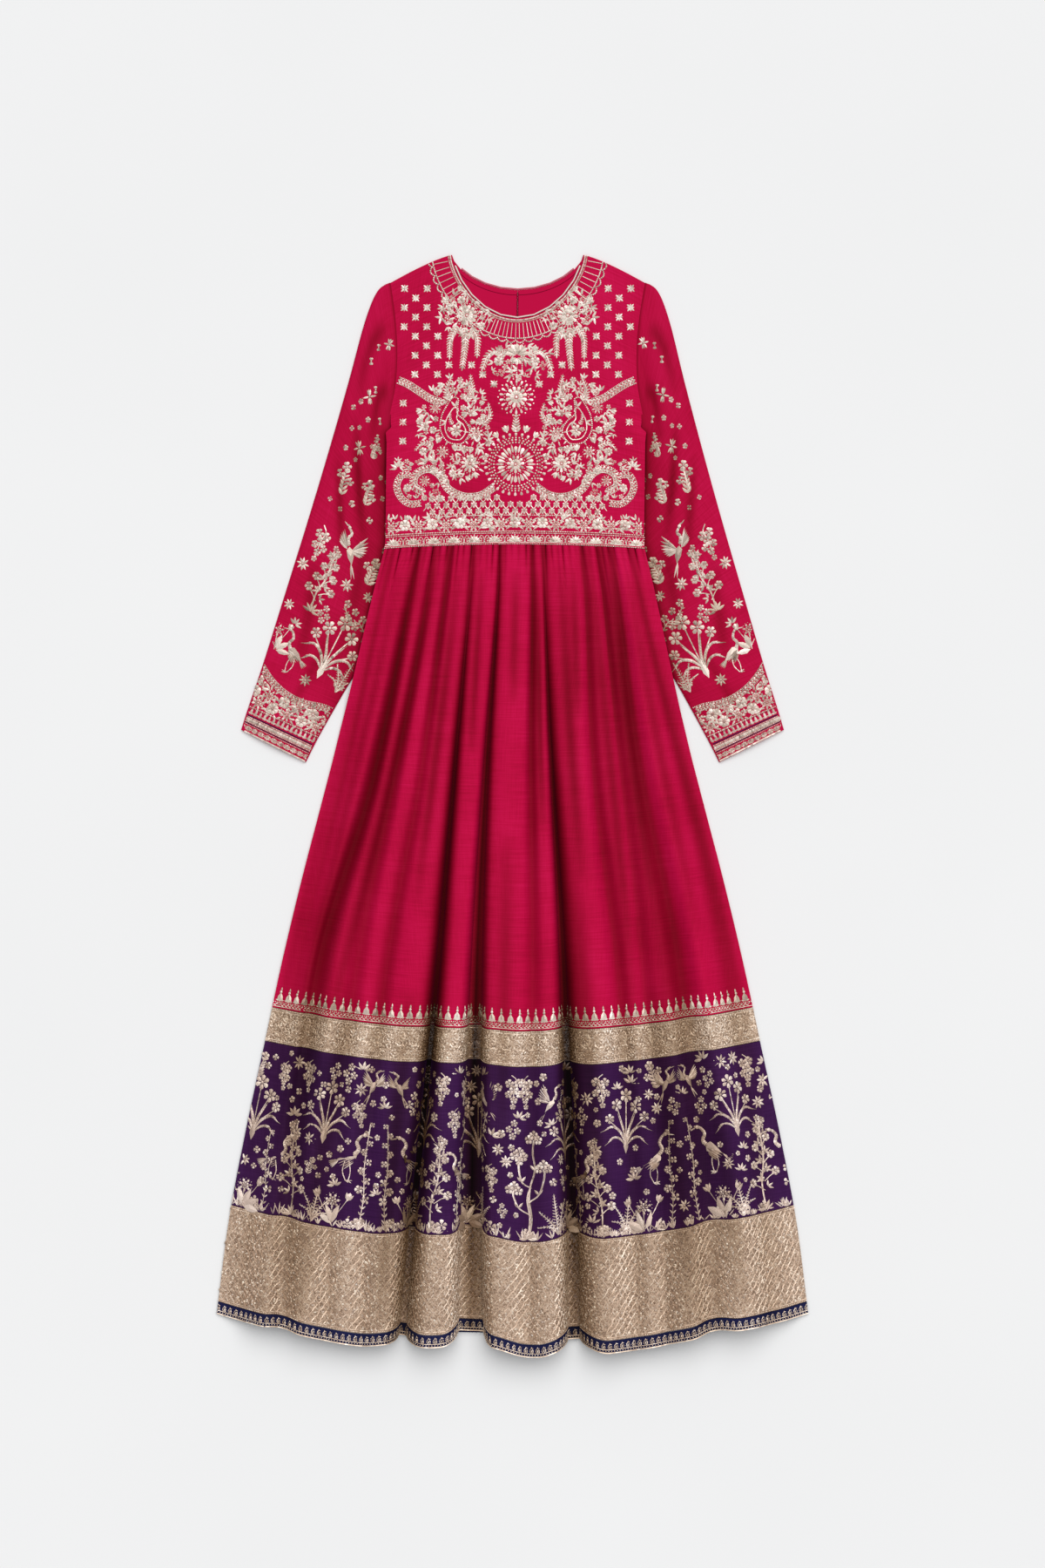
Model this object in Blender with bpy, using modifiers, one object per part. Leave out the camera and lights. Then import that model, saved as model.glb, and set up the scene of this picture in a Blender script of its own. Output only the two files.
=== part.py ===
"""Anarkali gown, laid out on its back with the sleeves along the sides.

The gown lies in the X-Y plane: neck towards +Y, hem towards -Y, front facing +Z, and its
underside on Z = 0. The back pieces lie flat, the front pieces lie on them, and the deep folds
of the skirt front stand up as soft ridges. All sizes here are in millimetres; the mesh
builder turns them into metres.
"""

import math

import bmesh
import bpy

MM = 0.001
WALL = 1.5
SEAM = 0.3
TIER_SEAM = 0.6
LAYER = WALL + SEAM
FLOOR_MID = WALL / 2

# Body lengths, measured down the middle of the front.
WAIST_Y = 341.4
SKIRT_LENGTH = 1061.4
WAISTBAND_HEIGHT = 16.0
SKIRT_PANELS = (
    # name, depth down the middle
    ("skirt", 636.0),
    ("upper_band", 46.7),
    ("border", 228.0),
    ("lower_band", 133.7),
    ("hem_band", 17.0),
)
SAG_AT_WAIST = -6.0
SAG_AT_HEM = 55.0
BACK_HEM_RISE = 30.0

# Half widths of the skirt against the height of its side edge.
SKIRT_SIDES = (
    # y, half_width
    (336.0, 170.0),
    (279.0, 184.0),
    (142.0, 215.0),
    (28.0, 243.0),
    (-86.0, 273.0),
    (-200.0, 300.5),
    (-314.0, 325.0),
    (-428.0, 349.5),
    (-542.0, 371.0),
    (-665.0, 387.0),
)

# The upper body leans a little to +X.
LEAN_TOP = 6.8
LEAN_RANGE = 6.8
LEAN_TOP_Y = 678.0
LEAN_HEIGHT = 581.0

# Neck and shoulders.
NECK_HALF = 86.0
NECK_POINT_Y = 720.0
FRONT_NECK_DEPTH = 83.0
BACK_NECK_DEPTH = 46.0
NECK_ROUNDNESS = 1.3
NECK_STEP = 15
SHOULDER_TIP = (166.4, 683.4)
SHOULDER_DROOP = 1.25
PIPING_RADIUS = 1.1

# Armholes and the side seams of the bodice.
UNDERARM = (161.1, 511.3)
ARMHOLE_BOW = 7.0
UNDERARM_CLEAR = 1.8
SIDE_HALF = 169.0
SIDE_STEP_TOP = 496.0
SIDE_STEP_BOTTOM = 486.0
SIDE_LEVELS = (400.0, 445.0, 486.0, 491.0, 496.0, 503.0, 510.0)

# Sleeves: each row is a ring from its outer edge to its inner edge.
SLEEVE_RINGS = (
    # outer_x, outer_y, inner_x, inner_y, bow, puff, puffed_share
    (166.4, 683.4, 161.1, 511.3, 7.0, 0.5, 0.60),
    (174.4, 680.0, 163.0, 501.0, 6.0, 1.4, 0.60),
    (182.6, 672.6, 165.0, 487.3, 4.0, 2.4, 0.60),
    (191.3, 654.9, 165.5, 466.8, 2.0, 3.0, 0.60),
    (202.2, 620.7, 161.0, 444.0, 0.0, 3.3, 0.60),
    (219.7, 552.3, 148.0, 398.4, 0.0, 3.5, 0.60),
    (244.8, 461.1, 144.0, 338.0, 0.0, 3.5, 0.65),
    (271.1, 369.9, 157.0, 281.0, 0.0, 3.5, 0.70),
    (298.5, 278.7, 184.0, 213.7, 0.0, 3.5, 0.80),
    (327.1, 184.1, 225.1, 141.9, 0.0, 3.5, 0.95),
    (345.5, 128.0, 255.3, 87.5, 0.0, 3.3, 1.00),
    (354.6, 98.6, 271.0, 56.5, 0.0, 3.2, 1.00),
)
CUFF_FROM_RING = 10
SLEEVE_SIDE_POINTS = 9
TUCK_RAMP = 34.0
TUCK_MARGIN = 12.0
TUCK_TOP = 512.0
TUCK_TOP_RAMP = 15.0
TUCK_BOTTOM = 105.0
TUCK_BOTTOM_RAMP = 50.0
TUCK_CLEAR = 4.4

# Folds of the skirt front: where each valley runs, as a share of the half width at four
# levels, how deep it is at the top and at the hem, how wide its walls and half its floor are,
# how far it lifts the hem, and over what width.
FOLD_LEVELS = (0.059, 0.295, 0.537, 1.0)
FOLDS = (
    # line at each level, depth at each level, left wall, floor and right wall at the waist,
    # the same at the hem, lift of the hem, spread of the lift
    ((-0.930, -0.920, -0.930, -0.930), (0.25, 0.20, 0.10, 0.05),
     (0.030, 0.004, 0.030), (0.030, 0.004, 0.030), 0.0, 0.03),
    ((-0.733, -0.758, -0.840, -0.780), (0.85, 0.78, 0.60, 0.20),
     (0.040, 0.006, 0.040), (0.110, 0.010, 0.100), 5.0, 0.16),
    ((-0.610, -0.640, -0.677, -0.630), (0.55, 0.30, 0.20, 0.03),
     (0.035, 0.006, 0.035), (0.050, 0.008, 0.050), 0.0, 0.04),
    ((-0.485, -0.502, -0.548, -0.510), (0.75, 0.25, 0.06, 0.03),
     (0.035, 0.006, 0.035), (0.040, 0.006, 0.040), 0.0, 0.04),
    ((-0.310, -0.321, -0.328, -0.372), (0.60, 0.95, 0.95, 0.95),
     (0.035, 0.005, 0.035), (0.060, 0.014, 0.060), 20.0, 0.14),
    ((-0.114, -0.148, -0.157, -0.140), (0.85, 0.95, 0.95, 0.95),
     (0.030, 0.004, 0.030), (0.055, 0.044, 0.034), 32.0, 0.16),
    ((0.128, 0.101, 0.088, 0.050), (0.85, 0.45, 0.18, 0.02),
     (0.030, 0.005, 0.030), (0.050, 0.006, 0.050), 0.0, 0.04),
    ((0.212, 0.218, 0.221, 0.208), (0.70, 0.95, 0.95, 0.95),
     (0.030, 0.004, 0.035), (0.055, 0.022, 0.075), 20.0, 0.1),
    ((0.506, 0.448, 0.460, 0.420), (0.60, 0.35, 0.28, 0.04),
     (0.040, 0.006, 0.045), (0.060, 0.008, 0.060), 0.0, 0.04),
    ((0.630, 0.600, 0.570, 0.520), (0.70, 0.25, 0.15, 0.03),
     (0.035, 0.006, 0.035), (0.050, 0.006, 0.050), 0.0, 0.04),
    ((0.741, 0.713, 0.730, 0.680), (0.65, 0.42, 0.45, 0.22),
     (0.040, 0.008, 0.045), (0.100, 0.012, 0.120), 9.0, 0.26),
    ((0.890, 0.930, 0.925, 0.880), (0.35, 0.30, 0.20, 0.10),
     (0.035, 0.006, 0.035), (0.050, 0.006, 0.050), 0.0, 0.04),
)
DEEP_FOLD = 0.9
STEEP_FOOT = 0.7
WALL_SHARES = (1.0, 0.5, 0.12, 0.0)
WALL_ROOM = 0.45
LIFT_POWER = 3
LIFT_STEP = 0.55
CREST_STEPS = (1, 1, 1, 1, 2, 2, 2, 1, 3, 1, 1, 2, 1)
CREST_HEIGHTS = (
    # share of the skirt's length, height of a full crest
    (0.0, 2.0),
    (0.06, 9.0),
    (0.30, 21.0),
    (0.54, 28.0),
    (1.0, 36.0),
)
CREST_DOME = 0.2
SIDE_RISE = 0.2
FULL_CREST_WIDTH = 60.0
EDGE_SOFTNESS = 0.06
WAIST_PUFF = 2.0

# The skirt is gathered into the waistband in small even gathers that fade out below it.
GATHERS = 40
GATHER_HEIGHT = 1.2
GATHER_ROWS = (0.0, 10.0, 24.0, 45.0, 75.0)
GATHER_FADE = 80.0
PANEL_ROWS = (110.0, 160.0, 220.0, 290.0, 360.0, 430.0, 500.0, 570.0)
BACK_ROWS = (45.0, 110.0, 160.0, 220.0, 290.0, 430.0)
BAND_STRIPS = {"upper_band": 1, "border": 3, "lower_band": 3, "hem_band": 1}

COLOURS = {
    # name: (red, green, blue), roughness, metallic
    "silk": ((0.52, 0.004, 0.075), 0.55, 0.0),
    "embroidered_silk": ((0.50, 0.01, 0.08), 0.55, 0.0),
    "purple_silk": ((0.045, 0.012, 0.11), 0.55, 0.0),
    "gold_trim": ((0.45, 0.33, 0.22), 0.42, 0.35),
    "navy_trim": ((0.03, 0.025, 0.07), 0.55, 0.0),
    "silver_cord": ((0.62, 0.52, 0.44), 0.45, 0.3),
}


def clear_scene():
    for obj in list(bpy.data.objects):
        bpy.data.objects.remove(obj, do_unlink=True)


def lerp(a, b, t):
    return a + (b - a) * t


def ease(t):
    t = min(1.0, max(0.0, t))
    return t * t * (3.0 - 2.0 * t)


def smooth_curve(rows, x):
    """Value at x of a smooth curve through rows of (position, value), positions rising."""
    last = len(rows) - 1
    if x <= rows[0][0]:
        return rows[0][1]
    if x >= rows[last][0]:
        return rows[last][1]
    i = max(k for k in range(last) if rows[k][0] <= x)

    def slope(k):
        a, b = rows[max(0, k - 1)], rows[min(last, k + 1)]
        return (b[1] - a[1]) / (b[0] - a[0])

    width = rows[i + 1][0] - rows[i][0]
    t = (x - rows[i][0]) / width
    start, end = rows[i][1], rows[i + 1][1]
    return (
        start * (1 + 2 * t) * (1 - t) ** 2
        + end * t * t * (3 - 2 * t)
        + width * slope(i) * t * (1 - t) ** 2
        - width * slope(i + 1) * t * t * (1 - t)
    )


def lean(y):
    return LEAN_TOP - LEAN_RANGE * min(1.0, max(0.0, (LEAN_TOP_Y - y) / LEAN_HEIGHT))


# --- Plan shape of the skirt: f is -1 at the left edge and 1 at the right, v runs 0 to 1 ---


def sag(v):
    return lerp(SAG_AT_WAIST, SAG_AT_HEM, v)


def skirt_half(v):
    side_y = WAIST_Y - SKIRT_LENGTH * v + sag(v)
    return smooth_curve(sorted(SKIRT_SIDES), side_y)


def fold_line(fold, v):
    return smooth_curve(tuple(zip(FOLD_LEVELS, fold[0])), v)


def fold_lines(v):
    """Where the valleys run at depth v, with the two side edges."""
    return [-1.0] + [fold_line(fold, v) for fold in FOLDS] + [1.0]


def valley(k, v):
    """Left wall, floor and right wall of a valley, as shares of the skirt's half width."""
    waist, hem = FOLDS[k - 1][2:4]
    return [lerp(a, b, v) for a, b in zip(waist, hem)]


def wall_width(lines, k, side, v):
    """Width of a valley's wall on one side, kept clear of the next valley's wall."""
    left, floor, right = valley(k, v)
    room = WALL_ROOM * abs(lines[k + side] - lines[k]) - floor
    return min(left if side < 0 else right, room)


def is_deep(k):
    return FOLDS[k - 1][1][-1] >= DEEP_FOLD


def wall_rise(k, reach):
    """Height up a wall, 0 at its foot to 1: steep at the foot of a deep valley's wall."""
    if not is_deep(k):
        return ease(reach)
    return 1 - (1 - min(1.0, max(0.0, reach)) ** STEEP_FOOT) ** 2


def hem_lift(f, v):
    """How far the valleys draw the cloth up: a step at each wall, and a soft curve beyond."""
    lines = fold_lines(v)
    lift = 0.0
    for k, fold in enumerate(FOLDS, start=1):
        off = f - lines[k]
        out = abs(off) - valley(k, v)[1]
        step = 1 - wall_rise(k, out / wall_width(lines, k, -1 if off < 0 else 1, v))
        lift += fold[4] * lerp(1 - ease(out / fold[5]), step, LIFT_STEP)
    return lift * v**LIFT_POWER


def skirt_plan(f, v, back=False):
    y = WAIST_Y - SKIRT_LENGTH * v + sag(v) * f * f
    y += BACK_HEM_RISE * v * v * (1 - f * f) if back else hem_lift(f, v)
    return lean(y) + f * skirt_half(v), y


# --- Heights ---


def sleeve_inner_edge(y):
    rows = sorted((ring[3], ring[2]) for ring in SLEEVE_RINGS)
    return smooth_curve(rows, y)


def back_height(x, y):
    """Middle of the back's wall: flat, but raised where the sides lie on the sleeves."""
    across = abs(x - lean(y)) - (sleeve_inner_edge(y) - TUCK_MARGIN - TUCK_RAMP)
    along = ease((TUCK_TOP - y) / TUCK_TOP_RAMP) * ease((y - TUCK_BOTTOM) / TUCK_BOTTOM_RAMP)
    return FLOOR_MID + TUCK_CLEAR * ease(across / TUCK_RAMP) * along


def waist_height(f):
    return LAYER + WAIST_PUFF * ease((1 - abs(f)) / EDGE_SOFTNESS)


def height_left(f, v, lines):
    """Share of the crest's height that the valleys leave at f, 1 between them."""
    left = 1.0
    for k, fold in enumerate(FOLDS, start=1):
        off = f - lines[k]
        width = wall_width(lines, k, -1 if off < 0 else 1, v)
        reach = (abs(off) - valley(k, v)[1]) / width
        depth = smooth_curve(tuple(zip(FOLD_LEVELS, fold[1])), v)
        left *= 1 - depth * (1 - wall_rise(k, reach))
    return left


def fold_height(f, v):
    """Share of a full crest's height: lower on narrow crests and near the side edges."""
    lines = fold_lines(v)
    half = skirt_half(v)
    crests = [
        ((a + b) / 2, min(1.0, (b - a) * half / FULL_CREST_WIDTH) ** 0.6)
        for a, b in zip(lines, lines[1:])
    ]
    i = max(k for k in range(len(crests)) if lines[k] <= f or k == 0)
    s = min(1.0, max(0.0, (f - lines[i]) / (lines[i + 1] - lines[i])))
    dome = 1 - CREST_DOME * (1 - math.sin(math.pi * s))
    side = ease((1 - abs(f)) / SIDE_RISE)
    return side * dome * smooth_curve(crests, f) * height_left(f, v, lines)


def gather_height(f, v):
    fade = max(0.0, 1 - v * SKIRT_LENGTH / GATHER_FADE)
    return GATHER_HEIGHT * fade * math.cos(2 * math.pi * GATHERS * (f + 1) / 2)


def skirt_front_point(f, v):
    x, y = skirt_plan(f, v)
    crest = smooth_curve(CREST_HEIGHTS, v)
    soft = ease((1 - abs(f)) / EDGE_SOFTNESS)
    z = back_height(x, y) + waist_height(f) + crest * fold_height(f, v)
    z += soft * gather_height(f, v)
    return x, y, z


def skirt_back_point(f, v):
    x, y = skirt_plan(f, v, back=True)
    return x, y, back_height(x, y)


# --- Plan shape of the bodice ---


def side_x(y):
    """Half width of the bodice: the side seam, the underarm and the armhole."""
    if y < UNDERARM[1]:
        step = (y - SIDE_STEP_BOTTOM) / (SIDE_STEP_TOP - SIDE_STEP_BOTTOM)
        return lerp(SIDE_HALF, UNDERARM[0] - UNDERARM_CLEAR, ease(step))
    s = min(1.0, (y - UNDERARM[1]) / (SHOULDER_TIP[1] - UNDERARM[1]))
    return lerp(UNDERARM[0], SHOULDER_TIP[0], s) - ARMHOLE_BOW * math.sin(math.pi * s)


def shoulder_y(x):
    share = max(0.0, (x - NECK_HALF) / (SHOULDER_TIP[0] - NECK_HALF))
    return NECK_POINT_Y - (NECK_POINT_Y - SHOULDER_TIP[1]) * share**SHOULDER_DROOP


def neckline(angle, depth):
    """Point of a neckline at an angle from the middle, in degrees, -90 to 90."""
    turn = math.radians(angle)
    return (
        NECK_HALF * math.sin(turn),
        NECK_POINT_Y - depth * max(0.0, math.cos(turn)) ** NECK_ROUNDNESS,
    )


def bodice_top(depth):
    """Upper edge of half a bodice piece: neckline out to the neck point, then shoulder."""
    neck = [neckline(angle, depth) for angle in range(0, 91, NECK_STEP)]
    shoulder = [lerp(NECK_HALF, SHOULDER_TIP[0], k / 4) for k in range(1, 5)]
    return neck + [(x, shoulder_y(x)) for x in shoulder]


def waist_top_y(share):
    return WAIST_Y + WAISTBAND_HEIGHT + SAG_AT_WAIST * share * share


def edge_levels():
    """Heights of a bodice piece's rows at its side: the armhole's match the sleeve's ring."""
    width = math.dist(SHOULDER_TIP, UNDERARM)
    turn = LAYER / 2 / width
    steps = range(SLEEVE_SIDE_POINTS + 1)
    shares = [lerp(1 - turn, turn, k / SLEEVE_SIDE_POINTS) for k in steps]
    armhole = [lerp(SHOULDER_TIP[1], UNDERARM[1], share) for share in shares]
    return [waist_top_y(1.0)] + list(SIDE_LEVELS) + armhole[:-1] + [SHOULDER_TIP[1]]


def half_bodice(top):
    """Rows of points over half a bodice piece, from the waist up to its top edge."""
    levels = edge_levels()
    grid = []
    for level in levels:
        v = (level - levels[0]) / (levels[-1] - levels[0])
        line = []
        for top_x, top_y in top:
            across = top_x / SHOULDER_TIP[0]
            x = lerp(SIDE_HALF * across, top_x, v)
            y = lerp(waist_top_y(across), top_y, v)
            x += across**3 * (side_x(level) - lerp(SIDE_HALF, SHOULDER_TIP[0], v))
            line.append((x, y))
        grid.append(line)
    return grid


# --- Mesh building ---


def material(name):
    if name in bpy.data.materials:
        return bpy.data.materials[name]
    colour, roughness, metallic = COLOURS[name]
    made = bpy.data.materials.new(name)
    made.use_nodes = True
    shader = made.node_tree.nodes["Principled BSDF"]
    shader.inputs["Base Color"].default_value = (*colour, 1.0)
    shader.inputs["Roughness"].default_value = roughness
    shader.inputs["Metallic"].default_value = metallic
    return made


def add_object(name, data, look):
    obj = bpy.data.objects.new(name, data)
    data.materials.append(material(look))
    gown.objects.link(obj)
    return obj


def cloth(name, rows, look, closed=False):
    """A wall WALL thick whose middle runs through rows of points.

    Each row has as many points as the last, or half as many spaces where gathers run out.
    A closed row is a ring.
    """
    bm = bmesh.new()
    lines = [[bm.verts.new([c * MM for c in point]) for point in row] for row in rows]
    if closed:
        lines = [line + line[:1] for line in lines]
    for upper, lower in zip(lines, lines[1:]):
        fine = len(upper) > len(lower)
        for k in range(len(lower) - 1):
            a, b = lower[k], lower[k + 1]
            if not fine:
                bm.faces.new((upper[k], a, b, upper[k + 1]))
                continue
            left, middle, right = upper[2 * k : 2 * k + 3]
            bm.faces.new((left, a, middle))
            bm.faces.new((a, b, middle))
            bm.faces.new((middle, b, right))
    bmesh.ops.triangulate(bm, faces=bm.faces[:])
    mesh = bpy.data.meshes.new(name)
    bm.to_mesh(mesh)
    bm.free()
    mesh.shade_smooth()
    obj = add_object(name, mesh, look)
    wall = obj.modifiers.new("wall", "SOLIDIFY")
    wall.thickness = WALL * MM
    wall.offset = 0.0
    return obj


# --- Skirt ---


def wall_columns(lines, k, v):
    """Column positions down a valley's walls: eight on a deep valley, three on a shallow one."""
    floor = valley(k, v)[1]
    left, right = (wall_width(lines, k, side, v) for side in (-1, 1))
    foot, head = lines[k] - floor, lines[k] + floor
    if not is_deep(k):
        return [foot - left, lines[k], head + right]
    down = [foot - left * share for share in WALL_SHARES]
    up = [head + right * share for share in reversed(WALL_SHARES)]
    return down + up


def fold_columns(v):
    """Column positions that follow the folds, evenly spaced at the waist."""
    lines = fold_lines(v)
    walls = [[-1.0]] + [wall_columns(lines, k, v) for k in range(1, len(FOLDS) + 1)] + [[1.0]]
    follow = []
    for this, following, steps in zip(walls, walls[1:], CREST_STEPS):
        gap = following[0] - this[-1]
        follow += this + [this[-1] + gap * k / (steps + 1) for k in range(1, steps + 1)]
    follow.append(1.0)
    count = len(follow) - 1
    blend = ease(v * SKIRT_LENGTH / GATHER_ROWS[-1])
    return [lerp(2 * k / count - 1, f, blend) for k, f in enumerate(follow)]


def gather_columns(v):
    coarse = fold_columns(v)
    fine = [c for a, b in zip(coarse, coarse[1:]) for c in (a, (a + b) / 2)]
    return fine + [1.0]


def skirt_depths():
    """Name, upper edge and lower edge of each tier, as distances below the waist."""
    top = 0.0
    for name, depth in SKIRT_PANELS:
        lower_gap = 0.0 if name == "hem_band" else TIER_SEAM / 2
        yield name, top + TIER_SEAM / 2, top + depth - lower_gap
        top += depth


def tier_rows(top, bottom, strips):
    return [lerp(top, bottom, k / strips) for k in range(strips + 1)]


def front_rows(name, top, bottom):
    rows = []
    if name == "skirt":
        for depth in GATHER_ROWS:
            v = max(depth, top) / SKIRT_LENGTH
            rows.append([skirt_front_point(f, v) for f in gather_columns(v)])
        depths = list(PANEL_ROWS) + [bottom]
    else:
        depths = tier_rows(top, bottom, BAND_STRIPS[name])
    for depth in depths:
        v = depth / SKIRT_LENGTH
        rows.append([skirt_front_point(f, v) for f in fold_columns(v)])
    return rows


def back_columns(v):
    """The front's columns beside the side seams, where the layers rise together, and a few."""
    columns = fold_columns(v)
    last = len(columns) - 1
    return [f for k, f in enumerate(columns) if k % 4 == 0 or min(k, last - k) < 7]


def back_rows(name, top, bottom):
    if name == "skirt":
        depths = [top] + list(BACK_ROWS) + [bottom]
    else:
        depths = tier_rows(top, bottom, BAND_STRIPS[name])
    levels = [depth / SKIRT_LENGTH for depth in depths]
    return [[skirt_back_point(f, v) for f in back_columns(v)] for v in levels]


TIER_LOOKS = {
    "skirt": "silk",
    "upper_band": "gold_trim",
    "border": "purple_silk",
    "lower_band": "gold_trim",
    "hem_band": "navy_trim",
}


def make_skirt():
    for name, top, bottom in skirt_depths():
        cloth(name + "_front", front_rows(name, top, bottom), TIER_LOOKS[name])
        cloth(name + "_back", back_rows(name, top, bottom), TIER_LOOKS[name])


# --- Bodice ---


def bodice_puff(share, v):
    side = ease((1 - share) / EDGE_SOFTNESS)
    return LAYER + WAIST_PUFF * side * min(1.0, 0.15 + 2.5 * (1 - v))


def front_bodice_point(x, y, v):
    share = min(1.0, abs(x) / side_x(y))
    world_x = x + lean(y)
    return world_x, y, back_height(world_x, y) + bodice_puff(share, v)


def make_bodice_front():
    half = half_bodice(bodice_top(FRONT_NECK_DEPTH))
    grid = []
    for row, line in enumerate(half):
        v = row / (len(half) - 1)
        points = [(-x, y) for x, y in reversed(line[1:])] + line
        grid.append([front_bodice_point(x, y, v) for x, y in points])
    grid.reverse()
    cloth("bodice_front", grid, "embroidered_silk")


def make_bodice_back(side, label):
    grid = []
    for line in reversed(half_bodice(bodice_top(BACK_NECK_DEPTH))):
        points = []
        for x, y in line:
            world_x = lean(y) + side * max(x, SEAM / 2)
            points.append((world_x, y, back_height(world_x, y)))
        grid.append(points if side > 0 else points[::-1])
    cloth("bodice_back_" + label, grid, "silk")


def make_waistbands(columns=48):
    for label, coarse in (("front", 1), ("back", 3)):
        grid = []
        for gap, height in ((-SEAM / 2, WAISTBAND_HEIGHT), (SEAM / 2, 0.0)):
            line = []
            for k in range(0, columns + 1, coarse):
                f = 2 * k / columns - 1
                y = WAIST_Y + height + gap + SAG_AT_WAIST * f * f
                half = lerp(SIDE_HALF, skirt_half(0.0), 1 - height / WAISTBAND_HEIGHT)
                x = lean(y) + f * half
                z = back_height(x, y)
                z += waist_height(f) if label == "front" else 0.0
                line.append((x, y, z))
            grid.append(line)
        cloth("waistband_" + label, grid, "silver_cord")


def neck_path(depth, angles, height):
    """Points just inside a neckline, by the piping's radius and a seam's gap."""
    path = []
    for angle in angles:
        x, y = neckline(angle, depth)
        ahead_x, ahead_y = neckline(angle + 1, depth)
        step_x, step_y = ahead_x - x, ahead_y - y
        inset = (PIPING_RADIUS + SEAM) / math.hypot(step_x, step_y)
        path.append((lean(y) + x - step_y * inset, y + step_x * inset, height))
    return path


def make_neck_piping(label, depth, angles, height):
    """A thin corded piping set in along one neckline, from shoulder to shoulder."""
    path = neck_path(depth, angles, height)
    name = "neck_piping_" + label
    curve = bpy.data.curves.new(name, "CURVE")
    curve.dimensions = "3D"
    curve.bevel_depth = PIPING_RADIUS * MM
    curve.bevel_resolution = 1
    curve.use_fill_caps = True
    spline = curve.splines.new("POLY")
    spline.points.add(len(path) - 1)
    for point, place in zip(spline.points, path):
        point.co = (*[c * MM for c in place], 1.0)
    add_object(name, curve, "silver_cord")


# --- Sleeves ---


def ring_at(position):
    """A ring between two rows of the sleeve table; whole positions are the rows."""
    columns = range(len(SLEEVE_RINGS[0]))
    return [
        smooth_curve([(k, ring[c]) for k, ring in enumerate(SLEEVE_RINGS)], position)
        for c in columns
    ]


def sleeve_ring(position, side, shift=0.0):
    """Points round the flattened sleeve: over the top from outside to inside, then back."""
    outer_x, outer_y, inner_x, inner_y, bow, puff, puffed = ring_at(position)
    width = math.hypot(outer_x - inner_x, outer_y - inner_y)
    turn = LAYER / 2 / width
    count = SLEEVE_SIDE_POINTS

    def place(s, z):
        x = lerp(outer_x, inner_x, s) - bow * math.sin(math.pi * s) + shift
        y = lerp(outer_y, inner_y, s)
        return lean(y) + side * x, y, z

    shares = [lerp(turn, 1 - turn, k / count) for k in range(count + 1)]
    rise = [puff * max(0.0, math.sin(math.pi * min(1.0, s / puffed))) for s in shares]
    top = [place(s, FLOOR_MID + LAYER + r) for s, r in zip(shares, rise)]
    under = [place(s, FLOOR_MID) for s in reversed(shares)]
    middle = FLOOR_MID + LAYER / 2
    ring = [place(0.0, middle)] + top + [place(1.0, middle)] + under
    return ring if side < 0 else ring[::-1]


def make_sleeve(side, label):
    last = len(SLEEVE_RINGS) - 1
    places = [0, 0.5, 1, 2, 3, 4, 5, 6, 7, 8, 9, CUFF_FROM_RING - 0.005]
    shifts = [SEAM] + [0.0] * (len(places) - 1)
    rings = [sleeve_ring(p, side, s) for p, s in zip(places, shifts)]
    cloth("sleeve_" + label, rings, "embroidered_silk", closed=True)
    cuff = [sleeve_ring(p, side) for p in (CUFF_FROM_RING + 0.005, last)]
    cloth("cuff_" + label, cuff, "embroidered_silk", closed=True)


clear_scene()
gown = bpy.data.collections.new("anarkali_gown")
bpy.context.scene.collection.children.link(gown)
make_skirt()
make_waistbands()
make_bodice_front()
make_bodice_back(-1, "left")
make_bodice_back(1, "right")
make_neck_piping("front", FRONT_NECK_DEPTH, range(-75, 76, NECK_STEP), FLOOR_MID + LAYER + SEAM)
make_neck_piping("back", BACK_NECK_DEPTH, range(-60, 61, NECK_STEP), PIPING_RADIUS)
make_sleeve(-1, "left")
make_sleeve(1, "right")
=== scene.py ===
"""Looks of the anarkali gown: silk, borders, zari embroidery, floor, light and camera.

Tables and forms are in millimetres, as they are cut; the mesh builders turn them into metres.
"""

import math

import bpy
import numpy as np
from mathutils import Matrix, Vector
from mathutils.bvhtree import BVHTree


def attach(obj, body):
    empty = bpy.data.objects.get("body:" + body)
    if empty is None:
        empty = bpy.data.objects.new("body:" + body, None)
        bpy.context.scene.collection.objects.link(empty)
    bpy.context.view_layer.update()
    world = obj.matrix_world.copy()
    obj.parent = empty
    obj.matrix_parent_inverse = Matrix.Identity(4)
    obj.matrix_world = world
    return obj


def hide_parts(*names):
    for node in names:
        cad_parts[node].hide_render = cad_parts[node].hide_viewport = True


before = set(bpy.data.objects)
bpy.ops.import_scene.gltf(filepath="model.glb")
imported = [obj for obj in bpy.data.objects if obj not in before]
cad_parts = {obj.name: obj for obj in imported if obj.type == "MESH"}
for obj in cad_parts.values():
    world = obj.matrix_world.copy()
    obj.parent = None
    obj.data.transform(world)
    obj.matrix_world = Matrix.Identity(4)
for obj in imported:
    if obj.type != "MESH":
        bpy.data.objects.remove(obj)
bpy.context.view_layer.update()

MM = 0.001
CAD_WALL = 1.5
WALL = 1.2
SEAM = 0.3
TIER_SEAM = 0.6
LAYER = CAD_WALL + SEAM
FLOOR_MID = CAD_WALL / 2

# --- Driving sizes of the gown, the same as in the solids -----------------------------------

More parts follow.
